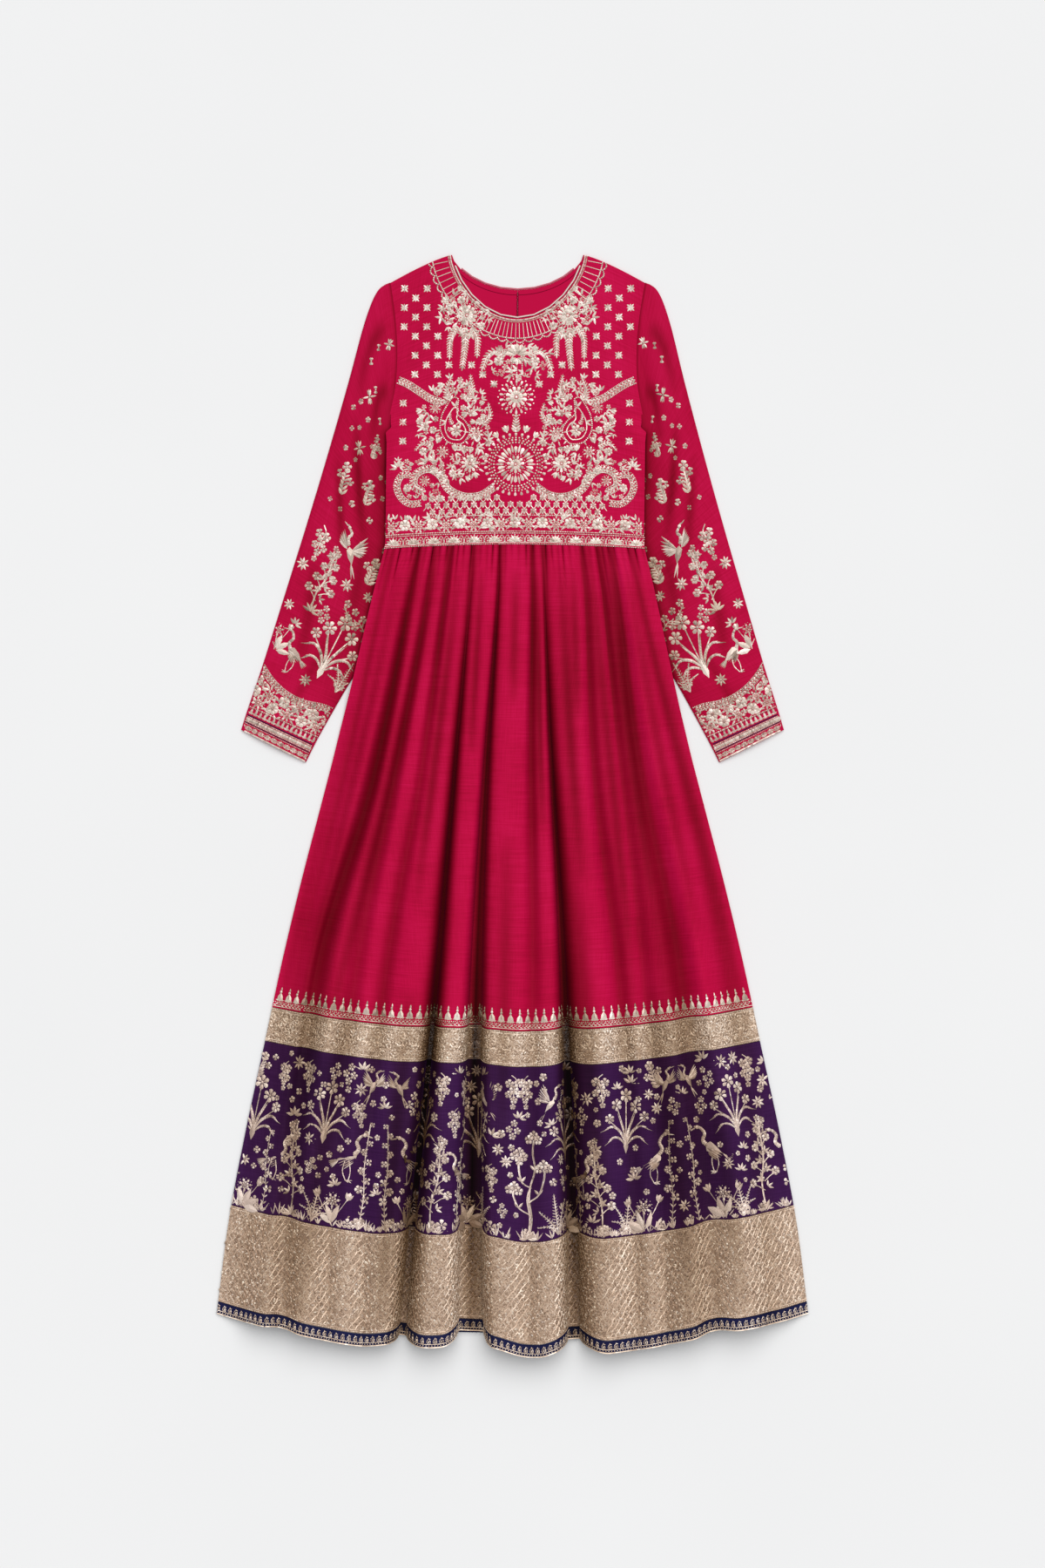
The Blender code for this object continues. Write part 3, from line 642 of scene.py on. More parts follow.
def cloth_shell(name, grid, look, node, slot, closed=False, down_from=0.0, **values):
    """A thin wall of cloth whose middle runs through a grid of points."""
    across, down = run_lengths(grid)
    down = down + down_from
    rows, columns = grid.shape[:2]
    last = columns if closed else columns - 1
    r, c = np.meshgrid(np.arange(rows - 1), np.arange(last), indexing="ij")
    r, c = r.ravel(), c.ravel()
    corners = [(r, c), (r + 1, c), (r + 1, c + 1), (r, c + 1)]
    faces = np.stack([i * columns + j % columns for i, j in corners], axis=-1)
    if not closed:
        across = across - across[:, -1:] / 2
    reach = np.c_[across, across[:, -1:] + 2.0]
    uvs = np.stack([np.stack([reach[i, j], -down[i]], axis=-1) for i, j in corners], axis=1)
    obj = new_mesh_object(name, grid.reshape(-1, 3), faces.tolist(), uvs, look, **values)
    choose(obj)
    wall = obj.modifiers.new("wall", "SOLIDIFY")
    wall.thickness = WALL * MM
    wall.offset = 0.0
    bpy.ops.object.modifier_apply(modifier=wall.name)
    bpy.ops.object.shade_smooth_by_angle(angle=math.radians(60))
    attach(obj, "root")
    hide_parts(node)
    return obj


# --- Materials ------------------------------------------------------------------------------


def node_maker(tree):
    def make(kind, inputs=None, **settings):
        made = tree.nodes.new(kind)
        for name, value in settings.items():
            setattr(made, name, value)
        for name, value in (inputs or {}).items():
            if isinstance(value, bpy.types.NodeSocket):
                tree.links.new(value, made.inputs[name])
            else:
                made.inputs[name].default_value = value
        return made

    return make


def new_look(name, **sockets):
    """A material, its node maker and its main shader, with constants on the shader's sockets."""
    look = bpy.data.materials.new(name)
    look.use_nodes = True
    shader = look.node_tree.nodes["Principled BSDF"]
    for socket, value in sockets.items():
        shader.inputs[socket.replace("_", " ")].default_value = value
    return look, node_maker(look.node_tree), shader


def link(look, output, socket):
    look.node_tree.links.new(output, socket)


def colour_ramp(make, factor, stops):
    ramp = make("ShaderNodeValToRGB", {"Fac": factor})
    while len(ramp.color_ramp.elements) < len(stops):
        ramp.color_ramp.elements.new(0.5)
    for element, (position, colour) in zip(ramp.color_ramp.elements, stops):
        element.position = position
        element.color = (*colour, 1.0)
    return ramp.outputs["Color"]


def lit(make, colour):
    """The colour, darkened and warmed by the painted shade value of the cloth where it has one."""
    shade = make("ShaderNodeAttribute", attribute_name="shade").outputs["Fac"]
    left = make("ShaderNodeMapRange", {"Value": shade, "To Min": 1.0, "To Max": 0.0}).outputs["Result"]
    green = make("ShaderNodeMath", {0: left, 1: 1.25}, operation="POWER").outputs[0]
    blue = make("ShaderNodeMath", {0: left, 1: 1.6}, operation="POWER").outputs[0]
    tint = make("ShaderNodeCombineXYZ", {"X": left, "Y": green, "Z": blue}).outputs["Vector"]
    return make("ShaderNodeVectorMath", {0: colour, 1: tint}, operation="MULTIPLY").outputs["Vector"]


def silk(name, deep, body, pale, sheen_tint, slub=1.0, uv=True):
    """Handloom silk: fine cross slubs, a soft bloom of lighter colour and a low sheen."""
    look, make, shader = new_look(
        name,
        Roughness=0.62,
        Specular_IOR_Level=0.03,
        Sheen_Weight=0.08,
        Sheen_Roughness=0.45,
        Sheen_Tint=(*sheen_tint, 1.0),
    )
    coords = make("ShaderNodeTexCoord").outputs["UV" if uv else "Object"]
    weft = make("ShaderNodeMapping", {"Vector": coords, "Scale": (22.0, 620.0, 22.0)})
    warp = make("ShaderNodeMapping", {"Vector": coords, "Scale": (700.0, 30.0, 30.0)})
    cross = make("ShaderNodeTexNoise", {"Vector": weft.outputs[0], "Scale": 1.0, "Detail": 3.0})
    ends = make("ShaderNodeTexNoise", {"Vector": warp.outputs[0], "Scale": 1.0, "Detail": 2.0})
    cloud = make("ShaderNodeTexNoise", {"Vector": coords, "Scale": 9.0, "Detail": 3.0})
    weave = make(
        "ShaderNodeMix",
        {"Factor": 0.35, "A": cross.outputs["Fac"], "B": ends.outputs["Fac"]},
        data_type="FLOAT",
    )
    blend = make(
        "ShaderNodeMix",
        {"Factor": 0.4, "A": weave.outputs[0], "B": cloud.outputs["Fac"]},
        data_type="FLOAT",
    )
    colour = colour_ramp(make, blend.outputs[0], ((0.3, deep), (0.5, body), (0.72, pale)))
    # Base colour with the painted shade of the cloth.
    link(look, lit(make, colour), shader.inputs["Base Color"])
    bump = make(
        "ShaderNodeBump",
        {"Height": weave.outputs[0], "Strength": 0.25 * slub, "Distance": 0.0004},
    )
    link(look, bump.outputs[0], shader.inputs["Normal"])
    return look


def zari(name, dark, body, pale, metallic=0.55, roughness=0.42):
    """Metal thread: each stitch has its own tone, with fine strands along it."""
    look, make, shader = new_look(name, Metallic=metallic, Roughness=roughness)
    tone = make("ShaderNodeAttribute", attribute_name="tone").outputs["Fac"]
    coords = make("ShaderNodeTexCoord").outputs["UV"]
    strands = make("ShaderNodeMapping", {"Vector": coords, "Scale": (2600.0, 260.0, 1.0)})
    noise = make("ShaderNodeTexNoise", {"Vector": strands.outputs[0], "Scale": 1.0})
    mixed = make(
        "ShaderNodeMix",
        {"Factor": 0.35, "A": tone, "B": noise.outputs["Fac"]},
        data_type="FLOAT",
    )
    colour = colour_ramp(make, mixed.outputs[0], ((0.12, dark), (0.5, body), (0.85, pale)))
    # Base colour with the painted shade of the cloth under the stitch.
    link(look, lit(make, colour), shader.inputs["Base Color"])
    bump = make(
        "ShaderNodeBump",
        {"Height": noise.outputs["Fac"], "Strength": 0.4, "Distance": 0.0003},
    )
    link(look, bump.outputs[0], shader.inputs["Normal"])
    return look


def net_ground(name, dark, body, pale, roughness=0.5, metallic=0.3, pitch=420.0):
    """Woven metallic ground under dense embroidery: a fine cell pattern in three tones."""
    look, make, shader = new_look(name, Metallic=metallic, Roughness=roughness)
    coords = make("ShaderNodeTexCoord").outputs["UV"]
    cells = make("ShaderNodeTexVoronoi", {"Vector": coords, "Scale": pitch})
    cloud = make("ShaderNodeTexNoise", {"Vector": coords, "Scale": 40.0, "Detail": 4.0})
    mixed = make(
        "ShaderNodeMix",
        {"Factor": 0.4, "A": cells.outputs["Distance"], "B": cloud.outputs["Fac"]},
        data_type="FLOAT",
    )
    colour = colour_ramp(make, mixed.outputs[0], ((0.2, dark), (0.42, body), (0.7, pale)))
    # Base colour with the painted shade of the cloth.
    link(look, lit(make, colour), shader.inputs["Base Color"])
    bump = make(
        "ShaderNodeBump",
        {"Height": cells.outputs["Distance"], "Strength": 0.5, "Distance": 0.0006},
    )
    link(look, bump.outputs[0], shader.inputs["Normal"])
    return look


CRIMSON = silk(
    "crimson_silk", (0.33, 0.0016, 0.026), (0.455, 0.0029, 0.046), (0.56, 0.0066, 0.074), (0.9, 0.03, 0.18)
)
SEAM_SILK = silk("seam_silk", (0.12, 0.0005, 0.010), (0.17, 0.0008, 0.016), (0.22, 0.0015, 0.024),
                 (0.5, 0.03, 0.1))
PURPLE = silk(
    "purple_silk", (0.026, 0.0056, 0.038), (0.040, 0.0088, 0.056), (0.059, 0.0160, 0.080), (0.4, 0.12, 0.5)
)
NAVY = silk(
    "navy_silk", (0.007, 0.007, 0.030), (0.011, 0.012, 0.050), (0.020, 0.021, 0.078), (0.2, 0.2, 0.5)
)
SILVER_ZARI = zari("silver_zari", (0.33, 0.235, 0.19), (0.74, 0.63, 0.54), (1.0, 0.94, 0.87), 0.25, 0.38)
CUFF_ZARI = zari("cuff_zari", (0.26, 0.185, 0.15), (0.66, 0.545, 0.47), (1.0, 0.91, 0.84), 0.25, 0.38)
GARDEN_ZARI = zari("garden_zari", (0.27, 0.185, 0.145), (0.66, 0.515, 0.44), (1.0, 0.89, 0.80), 0.25, 0.38)
PALE_GOLD_ZARI = zari("pale_gold_zari", (0.44, 0.31, 0.22), (0.80, 0.63, 0.49), (1.0, 0.90, 0.80), 0.25,
                      0.34)
WARM_GOLD_ZARI = zari("warm_gold_zari", (0.34, 0.215, 0.145), (0.66, 0.48, 0.35), (0.95, 0.80, 0.66),
                      0.25, 0.36)
GOLD_ZARI = zari("gold_zari", (0.20, 0.12, 0.075), (0.60, 0.44, 0.32), (1.0, 0.90, 0.76), 0.30, 0.34)
GOLD_GROUND = net_ground("gold_ground", (0.12, 0.068, 0.042), (0.30, 0.195, 0.13), (0.50, 0.37, 0.27))
FACING, _, _ = new_look("facing_edge", Base_Color=(0.50, 0.09, 0.14, 1.0), Roughness=0.6)
PIPING, _, _ = new_look("piping_thread", Base_Color=(0.62, 0.50, 0.46, 1.0), Metallic=0.2, Roughness=0.45)


# --- Shells ---------------------------------------------------------------------------------


def panel_depths(name, top, bottom):
    if name != "skirt":
        return np.linspace(top, bottom, max(2, round((bottom - top) / BAND_ROW_STEP)) + 1)
    depths = [top]
    for until, step in PANEL_ROW_STEPS:
        count = max(1, round((min(until, bottom) - depths[-1]) / step))
        depths += list(np.linspace(depths[-1], min(until, bottom), count + 1)[1:])
    return np.array(depths)


def skirt_grid(depths):
    rows = [skirt_front_row(fold_columns(d / SKIRT_LENGTH), d / SKIRT_LENGTH) for d in depths]
    return np.array(rows)


def skirt_tiers():
    """Name, upper edge and lower edge of each tier, as distances below the waist."""
    top = 0.0
    for name, depth in SKIRT_PANELS:
        lower_gap = 0.0 if name == "hem_band" else TIER_SEAM / 2
        yield name, top + TIER_SEAM / 2, top + depth - lower_gap
        top += depth


TIER_LOOKS = {
    "skirt": (CRIMSON, "crimson_silk"),
    "upper_band": (GOLD_GROUND, "gold_trim"),
    "border": (PURPLE, "purple_silk"),
    "lower_band": (GOLD_GROUND, "gold_trim"),
    "hem_band": (NAVY, "navy_trim"),
}

shells = {}
for tier, top, bottom in skirt_tiers():
    look, slot = TIER_LOOKS[tier]
    depths = panel_depths(tier, top, bottom)
    name = tier + "_front"
    # Each tier carries the painted shade of its folds as its shade value.
    shells[name] = cloth_shell(
        name + "_cloth", skirt_grid(depths), look, name, slot, down_from=top, shade=skirt_shades(depths)
    )
    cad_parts[tier + "_back"].data.materials[0] = look

shells["bodice_front"] = cloth_shell(
    "bodice_front_cloth", bodice_front_grid(), CRIMSON, "bodice_front", "embroidered_silk"
)
shells["waistband_front"] = cloth_shell(
    "waistband_front_cloth", waistband_grid(), CRIMSON, "waistband_front", "silver_trim"
)
for side, label in ((-1, "left"), (1, "right")):
    for part, first, last, rings in (
        ("sleeve", 0.0, CUFF_FROM_RING - 0.005, 90),
        ("cuff", CUFF_FROM_RING + 0.005, len(SLEEVE_RINGS) - 1.0, 8),
    ):
        places = np.linspace(first, last, rings)
        grid = np.array([sleeve_ring(p, side) for p in places])
        # Painted shade of each ring of the sleeve or cuff.
        shades = np.array([sleeve_shade(ring, p, side) for ring, p in zip(grid, places)])
        name = part + "_" + label
        shells[name] = cloth_shell(
            name + "_cloth", grid, CRIMSON, name, "embroidered_silk", closed=True, shade=shades
        )
    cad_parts["bodice_back_" + label].data.materials[0] = CRIMSON
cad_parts["waistband_back"].data.materials[0] = CRIMSON
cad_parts["neck_piping_front"].data.materials[0] = PIPING
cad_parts["neck_piping_back"].data.materials[0] = FACING


# --- Stitches: rows of kind, x, y, turn, length, width, height in millimetres ----------------

LEAF, PETAL, THREAD, BEAD, SEQUIN = range(5)


def rows_of(kind, x, y, turn, length, width, height):
    return np.stack(np.broadcast_arrays(float(kind), x, y, turn, length, width, height), axis=-1)


def stitch(kind, x, y, turn=0.0, length=1.0, width=1.0, height=0.6):
    return rows_of(kind, np.array([x]), y, turn, length, width, height)


def moved(motif, x=0.0, y=0.0, turn=0.0, size=1.0, flip=False):
    """A copy of a motif: flipped left to right, scaled, turned, then shifted."""
    out = np.array(motif, float)
    if flip:
        out[:, 1] *= -1
        out[:, 3] = 180 - out[:, 3]
    c, s = math.cos(math.radians(turn)) * size, math.sin(math.radians(turn)) * size
    out[:, 1], out[:, 2] = c * out[:, 1] - s * out[:, 2] + x, s * out[:, 1] + c * out[:, 2] + y
    out[:, 3] += turn
    out[:, 4:6] *= size
    return out


def both(motif):
    """A motif and its mirror image about the middle line."""
    return np.concatenate([motif, moved(motif, flip=True)])


def fan(kind, count, radius, length, width, start=90.0, sweep=360.0, height=0.6):
    """Stitches that point outward from a circle, round a full turn or across a sweep."""
    spread = np.arange(count) / count if sweep >= 360 else np.linspace(-0.5, 0.5, count)
    turn = start + sweep * spread
    x, y = radius * np.cos(np.radians(turn)), radius * np.sin(np.radians(turn))
    return rows_of(kind, x, y, turn, length, width, height)


def trail(points, step, closed=False):
    """Even steps along a smooth path: x, y and heading in degrees."""
    points = np.array(points, float)
    if closed:
        points = np.concatenate([points[-1:], points, points[:2]])
    else:
        points = np.concatenate([2 * points[:1] - points[1:2], points, 2 * points[-1:] - points[-2:-1]])
    t = np.linspace(0, 1, 16, endpoint=False)[:, None]
    fine = [
        ((2 * b) + (c - a) * t + (2 * a - 5 * b + 4 * c - d) * t * t + (3 * b - a - 3 * c + d) * t**3) / 2
        for a, b, c, d in zip(points, points[1:], points[2:], points[3:])
    ]
    line = np.concatenate([*fine, points[-2:-1]])
    run = np.r_[0.0, np.cumsum(np.hypot(*np.diff(line, axis=0).T))]
    at = np.linspace(0, run[-1], max(1, round(run[-1] / step)) + 1)
    x, y = np.interp(at, run, line[:, 0]), np.interp(at, run, line[:, 1])
    return x, y, np.degrees(np.arctan2(np.gradient(y), np.gradient(x)))


def stem(points, width=1.3, step=3.0, closed=False):
    x, y, turn = trail(points, step, closed)
    return rows_of(THREAD, x[:-1], y[:-1], turn[:-1], step * 1.2, width, 0.6)


def beaded(points, step=2.4, size=1.5, kind=BEAD, closed=False):
    x, y, turn = trail(points, step, closed)
    return rows_of(kind, x, y, turn, size, size, size * (0.7 if kind == BEAD else 0.3))


def sprig(points, leaf=6.0, width=2.2, step=4.0, spread=48.0, taper=0.55, kind=LEAF, bare=0.0):
    """A stem with pairs of leaves that shorten towards the tip, and one leaf at its end."""
    x, y, turn = trail(points, step)
    along = np.linspace(0, 1, len(x))
    size = 1 - taper * along
    sides = [
        rows_of(kind, x, y, turn + side * spread, leaf * size, width * size, 0.8)[along >= bare]
        for side in (1, -1)
    ]
    end = stitch(kind, x[-1], y[-1], turn[-1], leaf * (1 - taper) * 1.3, width * (1 - taper) * 1.2, 0.8)
    return np.concatenate([stem(points, width=min(1.5, width * 0.6)), *sides, end])


def blossom(size=5.0, petals=5, width=0.72, start=90.0):
    """A round flower: petals about a bead; size is its radius."""
    ring = fan(PETAL, petals, size * 0.16, size * 0.84, size * width, start, height=0.9)
    return np.concatenate([ring, stitch(BEAD, 0, 0, 0, size * 0.42, size * 0.42, size * 0.34)])


def star(size=5.5):
    """A small eight-pointed filling motif with a sequin in the middle."""
    long = fan(LEAF, 4, size * 0.12, size * 0.95, size * 0.50)
    short = fan(LEAF, 4, size * 0.12, size * 0.75, size * 0.36, start=45.0)
    return np.concatenate([long, short, stitch(SEQUIN, 0, 0, 0, size * 0.5, size * 0.5, 0.9)])


def rosette(size=12.0, petals=8):
    """A double flower in a ring of beads."""
    inner = fan(PETAL, petals, size * 0.12, size * 0.42, size * 0.26, height=1.1)
    outer = fan(PETAL, petals, size * 0.40, size * 0.50, size * 0.34, 90 + 180 / petals, height=0.9)
    beads = fan(BEAD, petals * 2, size * 0.98, size * 0.12, size * 0.12, height=size * 0.09)
    return np.concatenate([outer, inner, beads, stitch(BEAD, 0, 0, 0, size * 0.24, size * 0.24, 1.2)])


PAISLEY = (
    (0, -20), (12, -14), (16, 0), (11, 14), (2, 24), (-6, 30), (-11, 27), (-9, 21), (-6, 12),
    (-12, 2), (-14, -9), (-8, -17),
)


def paisley():
    """A curled drop: a beaded outline, an inner line, and a flower and leaves inside."""
    inner = [(x * 0.68, y * 0.68 - 1.5) for x, y in PAISLEY]
    outside = fan(LEAF, 9, 0.0, 4.6, 2.0, start=-90, sweep=190)
    angle = np.radians(outside[:, 3])
    outside[:, 1:3] = np.stack([16.4 * np.cos(angle), 18.5 * np.sin(angle) - 1.5], 1)
    return np.concatenate([
        beaded(PAISLEY, 2.1, 1.8, closed=True),
        stem(inner, 1.3, 2.2, closed=True),
        moved(blossom(6.2, 6), 0.5, -4.5),
        moved(sprig([(0, 0), (1, 6), (-1, 12)], 3.6, 1.7, 2.6), 2.0, 2.5),
        outside,
    ])


# --- Garden plants, rooted at 0, 0 and growing along +y --------------------------------------


def tulip(size=7.0):
    middle = stitch(PETAL, 0, 0, 90, size, size * 0.52, 1.0)
    sides = both(stitch(LEAF, 0.6, 0, 66, size * 0.98, size * 0.4, 0.9))
    return np.concatenate([middle, sides, stitch(BEAD, 0, 0, 0, size * 0.28, size * 0.28, 1.0)])


def fern(height=52.0):
    fronds = []
    for lean_out, share in ((0, 1.0), (26, 0.82), (-28, 0.78), (52, 0.55), (-54, 0.55)):
        tip = height * share
        a = math.radians(90 - lean_out)
        path = [(0, 0), (0.5 * tip * math.cos(a) * 0.8, 0.5 * tip), (tip * math.cos(a), tip * math.sin(a))]
        fronds.append(sprig(path, 8.0 * share, 2.6, 3.8, 58.0, 0.7, bare=0.15))
    return np.concatenate(fronds)


def spike(height=100.0):
    """A tall stem hung with small round flowers and a few narrow leaves."""
    y = np.linspace(height * 0.28, height, 9)
    parts = [sprig([(0, 0), (2, height * 0.3), (-1, height * 0.6), (0, height)], 6.5, 2.1, 7.5, 40, 0.7)]
    for k, place in enumerate(y):
        shrink = 1 - 0.45 * k / len(y)
        side = -4.6 if k % 2 else 4.6
        parts.append(moved(blossom(5.2 * shrink, 4 + k % 2, 0.8, 45), side * shrink, place))
    return np.concatenate(parts)


def blade(points, width=3.6, step=3.4):
    """A long leaf that follows a path, widens, and narrows to its tip."""
    x, y, turn = trail(points, step)
    broad = width * np.sin(np.linspace(0.45, 2.95, len(x)))
    return rows_of(LEAF, x, y, turn, step * 2.1, np.maximum(broad, 0.9), 0.9)


def lily():
    """Arching blades gathered in a pointed foot, under star flowers on slender stems."""
    parts = [stitch(LEAF, 0, -17, 90, 27, 8.0, 1.2)]
    for x, y, size in ((0, 56, 9.5), (-15, 44, 8.4), (14, 41, 8.8), (-25, 26, 6.6), (26, 28, 6.8)):
        parts += [stem([(x * 0.1, 0), (x * 0.42, y * 0.5), (x, y)], 1.6),
                  moved(blossom(size, 6, 0.62), x, y + 3)]
    for side in (-1, 1):
        parts.append(blade([(0, -5), (side * 9, 11), (side * 20, 18), (side * 31, 14)], 4.2))
        parts.append(blade([(0, -7), (side * 9, 2), (side * 18, 4), (side * 26, -2)], 3.6))
        parts.append(blade([(0, -5), (side * 4, 14), (side * 11, 30)], 4.0))
    return np.concatenate(parts)


BRANCH_END = ((0, 3), (-6.6, -2.5), (6.4, -3.5), (0.5, -9), (-5.5, 9), (5.8, 8))


def tree(height=120.0):
    """A forked trunk with thick curved boughs, each ending in a crowd of small flowers."""
    k = height / 120
    parts = [
        stem([(x, 0), (x + 3, 24 * k), (x - 1, 48 * k), (2, 66 * k)], 1.7, 3.4) for x in (-1.7, 0, 1.7)
    ]
    boughs = (
        ((-1, 44), (13, 54), (20, 74), (19, 84), 3), ((2, 62), (-11, 70), (-16, 88), (-15, 100), 4),
        ((1, 64), (7, 84), (4, 104), (5, 120), 3), ((0, 30), (-14, 38), (-22, 52), (-21, 58), 3),
    )
    for *path, flowers in boughs:
        path = [(x, y * k) for x, y in path]
        parts += [stem(path, 1.7, 3.0), stem([(x + 1.3, y) for x, y in path], 1.2, 3.0)]
        for dx, dy in BRANCH_END[:flowers]:
            parts.append(moved(blossom(6.2, 5, 0.8), path[-1][0] + dx, path[-1][1] + dy + 4))
        parts.append(moved(leaf_pair(), *path[1], 90))
    return np.concatenate([*parts, fan(LEAF, 7, 1.0, 12.0, 4.6, start=90, sweep=185)])


def leaf_pair(size=9.0):
    return np.concatenate([stitch(LEAF, 0, 0, turn, size, size * 0.42, 0.9) for turn in (-40, 45)])


def hanging_cluster():
    """Small flowers crowded on a drooping stalk, fewer towards its tip."""
    parts = [stem([(3, 9), (-2, 4), (0, -8), (1, -24)], 1.4)]
    for x, y, size in ((-5, 0, 5.6), (5, -1, 5.4), (0, -8, 5.6), (-6, -13, 4.6), (6, -14, 4.6),
                       (0, -20, 4.6), (1, -28, 3.6)):
        parts.append(moved(blossom(size, 5, 0.8), x, y))
    return np.concatenate(parts)


def daisy_bush():
    """A low plant: broad pointed leaves under one large flower and two buds."""
    leaves = fan(LEAF, 6, 2.0, 20.0, 8.4, start=90, sweep=196, height=1.0)
    flower = moved(rosette(8.5, 7), 0, 24)
    buds = both(np.concatenate([stem([(0, 4), (9, 17), (15, 27)], 1.0), moved(tulip(8.0), 15, 27, -22)]))
    return np.concatenate([leaves, stem([(0, 0), (0, 20)], 1.2), flower, buds])


def bough(reach=44.0):
    """A loose flowering branch that hangs or leans."""
    path = [(0, 0), (reach * 0.3, 6), (reach * 0.62, 3), (reach, 12)]
    parts = [sprig(path, 6.0, 2.2, 5.5, 50, 0.3)]
    for share, off in ((0.2, 9), (0.42, -5), (0.6, 12), (0.8, 1), (1.0, 16)):
        parts.append(moved(blossom(4.8), reach * share, off + 4))
    return np.concatenate(parts)


def cluster(size=4.0):
    """Four small flowers set close together."""
    places = ((0, 1.2), (-1.1, -0.7), (1.1, -0.7), (0, -2.4))
    return np.concatenate([moved(blossom(size, 5), x * size, y * size) for x, y in places])


def wader():
    """A long-legged bird that stands and looks back over its wing."""
    x, y, turn = trail([(9, 31), (14, 38), (12, 46), (15, 53), (20, 56)], 2.6)
    neck = rows_of(LEAF, x, y, turn, 5.6, np.linspace(6.0, 3.0, len(x)), 1.2)
    body = [stitch(PETAL, -13, 21, 26, 29, 13.0, 1.8), stitch(LEAF, -4, 24, 20, 17, 8.0, 2.6)]
    wing = [stitch(LEAF, 10, 31 - 2.0 * k, 204 + 4 * k, 24 - 2.2 * k, 2.8, 2.6) for k in range(5)]
    tail = [stitch(LEAF, -9, 23, 196 + 9 * k, 14, 2.4, 0.9) for k in range(5)]
    head = [stitch(BEAD, 20.5, 56.5, 0, 5.4, 5.4, 2.2), stitch(LEAF, 22.5, 56.0, -12, 9.5, 2.0, 0.9)]
    legs = [stem([(-1, 23), (-3, 11), (1, 0)], 1.4), stem([(4, 24), (6, 11), (4, -1)], 1.4)]
    feet = [stitch(LEAF, x, 0, turn, 5.5, 1.6) for x in (1, 4) for turn in (8, -30)]
    return np.concatenate([*body, *wing, *tail, *head, *legs, *feet, neck])


def flyer():
    """A long-necked bird on the wing, its legs trailing."""
    x, y, turn = trail([(4, 8), (8, 14), (7, 21), (12, 25)], 2.6)
    neck = rows_of(LEAF, x, y, turn, 5.4, np.linspace(5.0, 2.8, len(x)), 1.1)
    wings = [stitch(LEAF, -1, 5, 112 + 8 * k, 28 - 2.0 * k, 3.4, 1.2) for k in range(8)]
    wings += [stitch(LEAF, 4, 4, 48 - 8 * k, 25 - 1.8 * k, 3.2, 1.2) for k in range(7)]
    body = [stitch(PETAL, -9, -7, 52, 22, 9.0, 1.8), stitch(BEAD, 12.5, 25.5, 0, 4.6, 4.6, 2.0)]
    legs = [stitch(LEAF, -7, -6, turn, 20, 2.2, 0.8) for turn in (226, 240)]
    return np.concatenate([*wings, *body, *legs, neck, stitch(LEAF, 14, 25.5, 4, 8.5, 1.9, 0.9)])


def scattered(
    ground, motifs, area, gap, seed, tries=400, turn=20.0, sizes=(0.85, 1.15), keep=None, others=()
):
    """Adds motifs at random places in a box wherever they clear everything by a gap."""
    rng = np.random.default_rng(seed)
    spots = np.concatenate([ground, *others])[:, 1:3]
    added = []
    for _ in range(tries):
        x, y = rng.uniform(area[0], area[2]), rng.uniform(area[1], area[3])
        chosen = motifs[rng.integers(len(motifs))]
        new = moved(chosen, x, y, rng.uniform(-turn, turn), rng.uniform(*sizes), rng.random() < 0.5)
        if keep is not None and not keep(new[:, 1], new[:, 2]).all():
            continue
        middle = new[:, 1:3] + 0.5 * new[:, 4:5] * np.stack(
            [np.cos(np.radians(new[:, 3])), np.sin(np.radians(new[:, 3]))], axis=-1
        )
        near = spots[(np.abs(spots[:, 0] - x) < 45) & (np.abs(spots[:, 1] - y) < 60)]
        if len(near) and np.hypot(*(near[:, None] - middle[None]).T).min() < gap:
            continue
        spots = np.concatenate([spots, middle])
        added.append(new)
    return np.concatenate([ground, *added])


# --- Unit stitches, modelled once, each 1 long along +x, 1 wide and 1 high -------------------


def unit_mesh(add, outline=None, **settings):
    """Points and triangles of one shape made with a mesh operator; outline reshapes its base."""
    add(**settings)
    obj = bpy.context.object
    bpy.ops.object.mode_set(mode="EDIT")
    bpy.ops.mesh.quads_convert_to_tris()
    bpy.ops.object.mode_set(mode="OBJECT")
    bpy.ops.object.transform_apply(location=True, rotation=True, scale=True)
    mesh = obj.data
    points = np.array([v.co for v in mesh.vertices])
    faces = np.array([p.vertices for p in mesh.polygons])
    bpy.data.objects.remove(obj)
    bpy.data.meshes.remove(mesh)
    if outline is not None:
        base = points[:, 2] < 0.25
        points[base, :2] = outline
        points[~base, :2] = (0.48, 0.0)
    return points, faces


LEAF_OUTLINE = ((0, 0), (0.30, 0.42), (0.66, 0.36), (1, 0), (0.66, -0.36), (0.30, -0.42))
PETAL_OUTLINE = ((0, 0), (0.42, 0.36), (0.82, 0.42), (1, 0), (0.82, -0.42), (0.42, -0.36))
CONE = dict(vertices=6, radius1=0.5, radius2=0.0, depth=1.0, location=(0, 0, 0.5))


def unit_shapes():
    cone = bpy.ops.mesh.primitive_cone_add
    leaf = unit_mesh(cone, LEAF_OUTLINE, **CONE)
    petal = unit_mesh(cone, PETAL_OUTLINE, **CONE)
    thread, sides = unit_mesh(
        bpy.ops.mesh.primitive_cylinder_add, vertices=3, radius=0.5, depth=1.0,
        location=(0.5, 0, 0.3), rotation=(0, math.radians(90), 0),
    )
    bead, bead_faces = unit_mesh(bpy.ops.mesh.primitive_ico_sphere_add, subdivisions=1, radius=0.5)
    sequin, rim = unit_mesh(cone, **CONE)
    return [leaf, petal, (thread, sides), (bead + (0, 0, 0.4), bead_faces), (sequin, rim)]


# --- Placing stitches on cloth ---------------------------------------------------------------


def unit(vectors):
    return vectors / np.maximum(np.linalg.norm(vectors, axis=-1, keepdims=True), 1e-9)


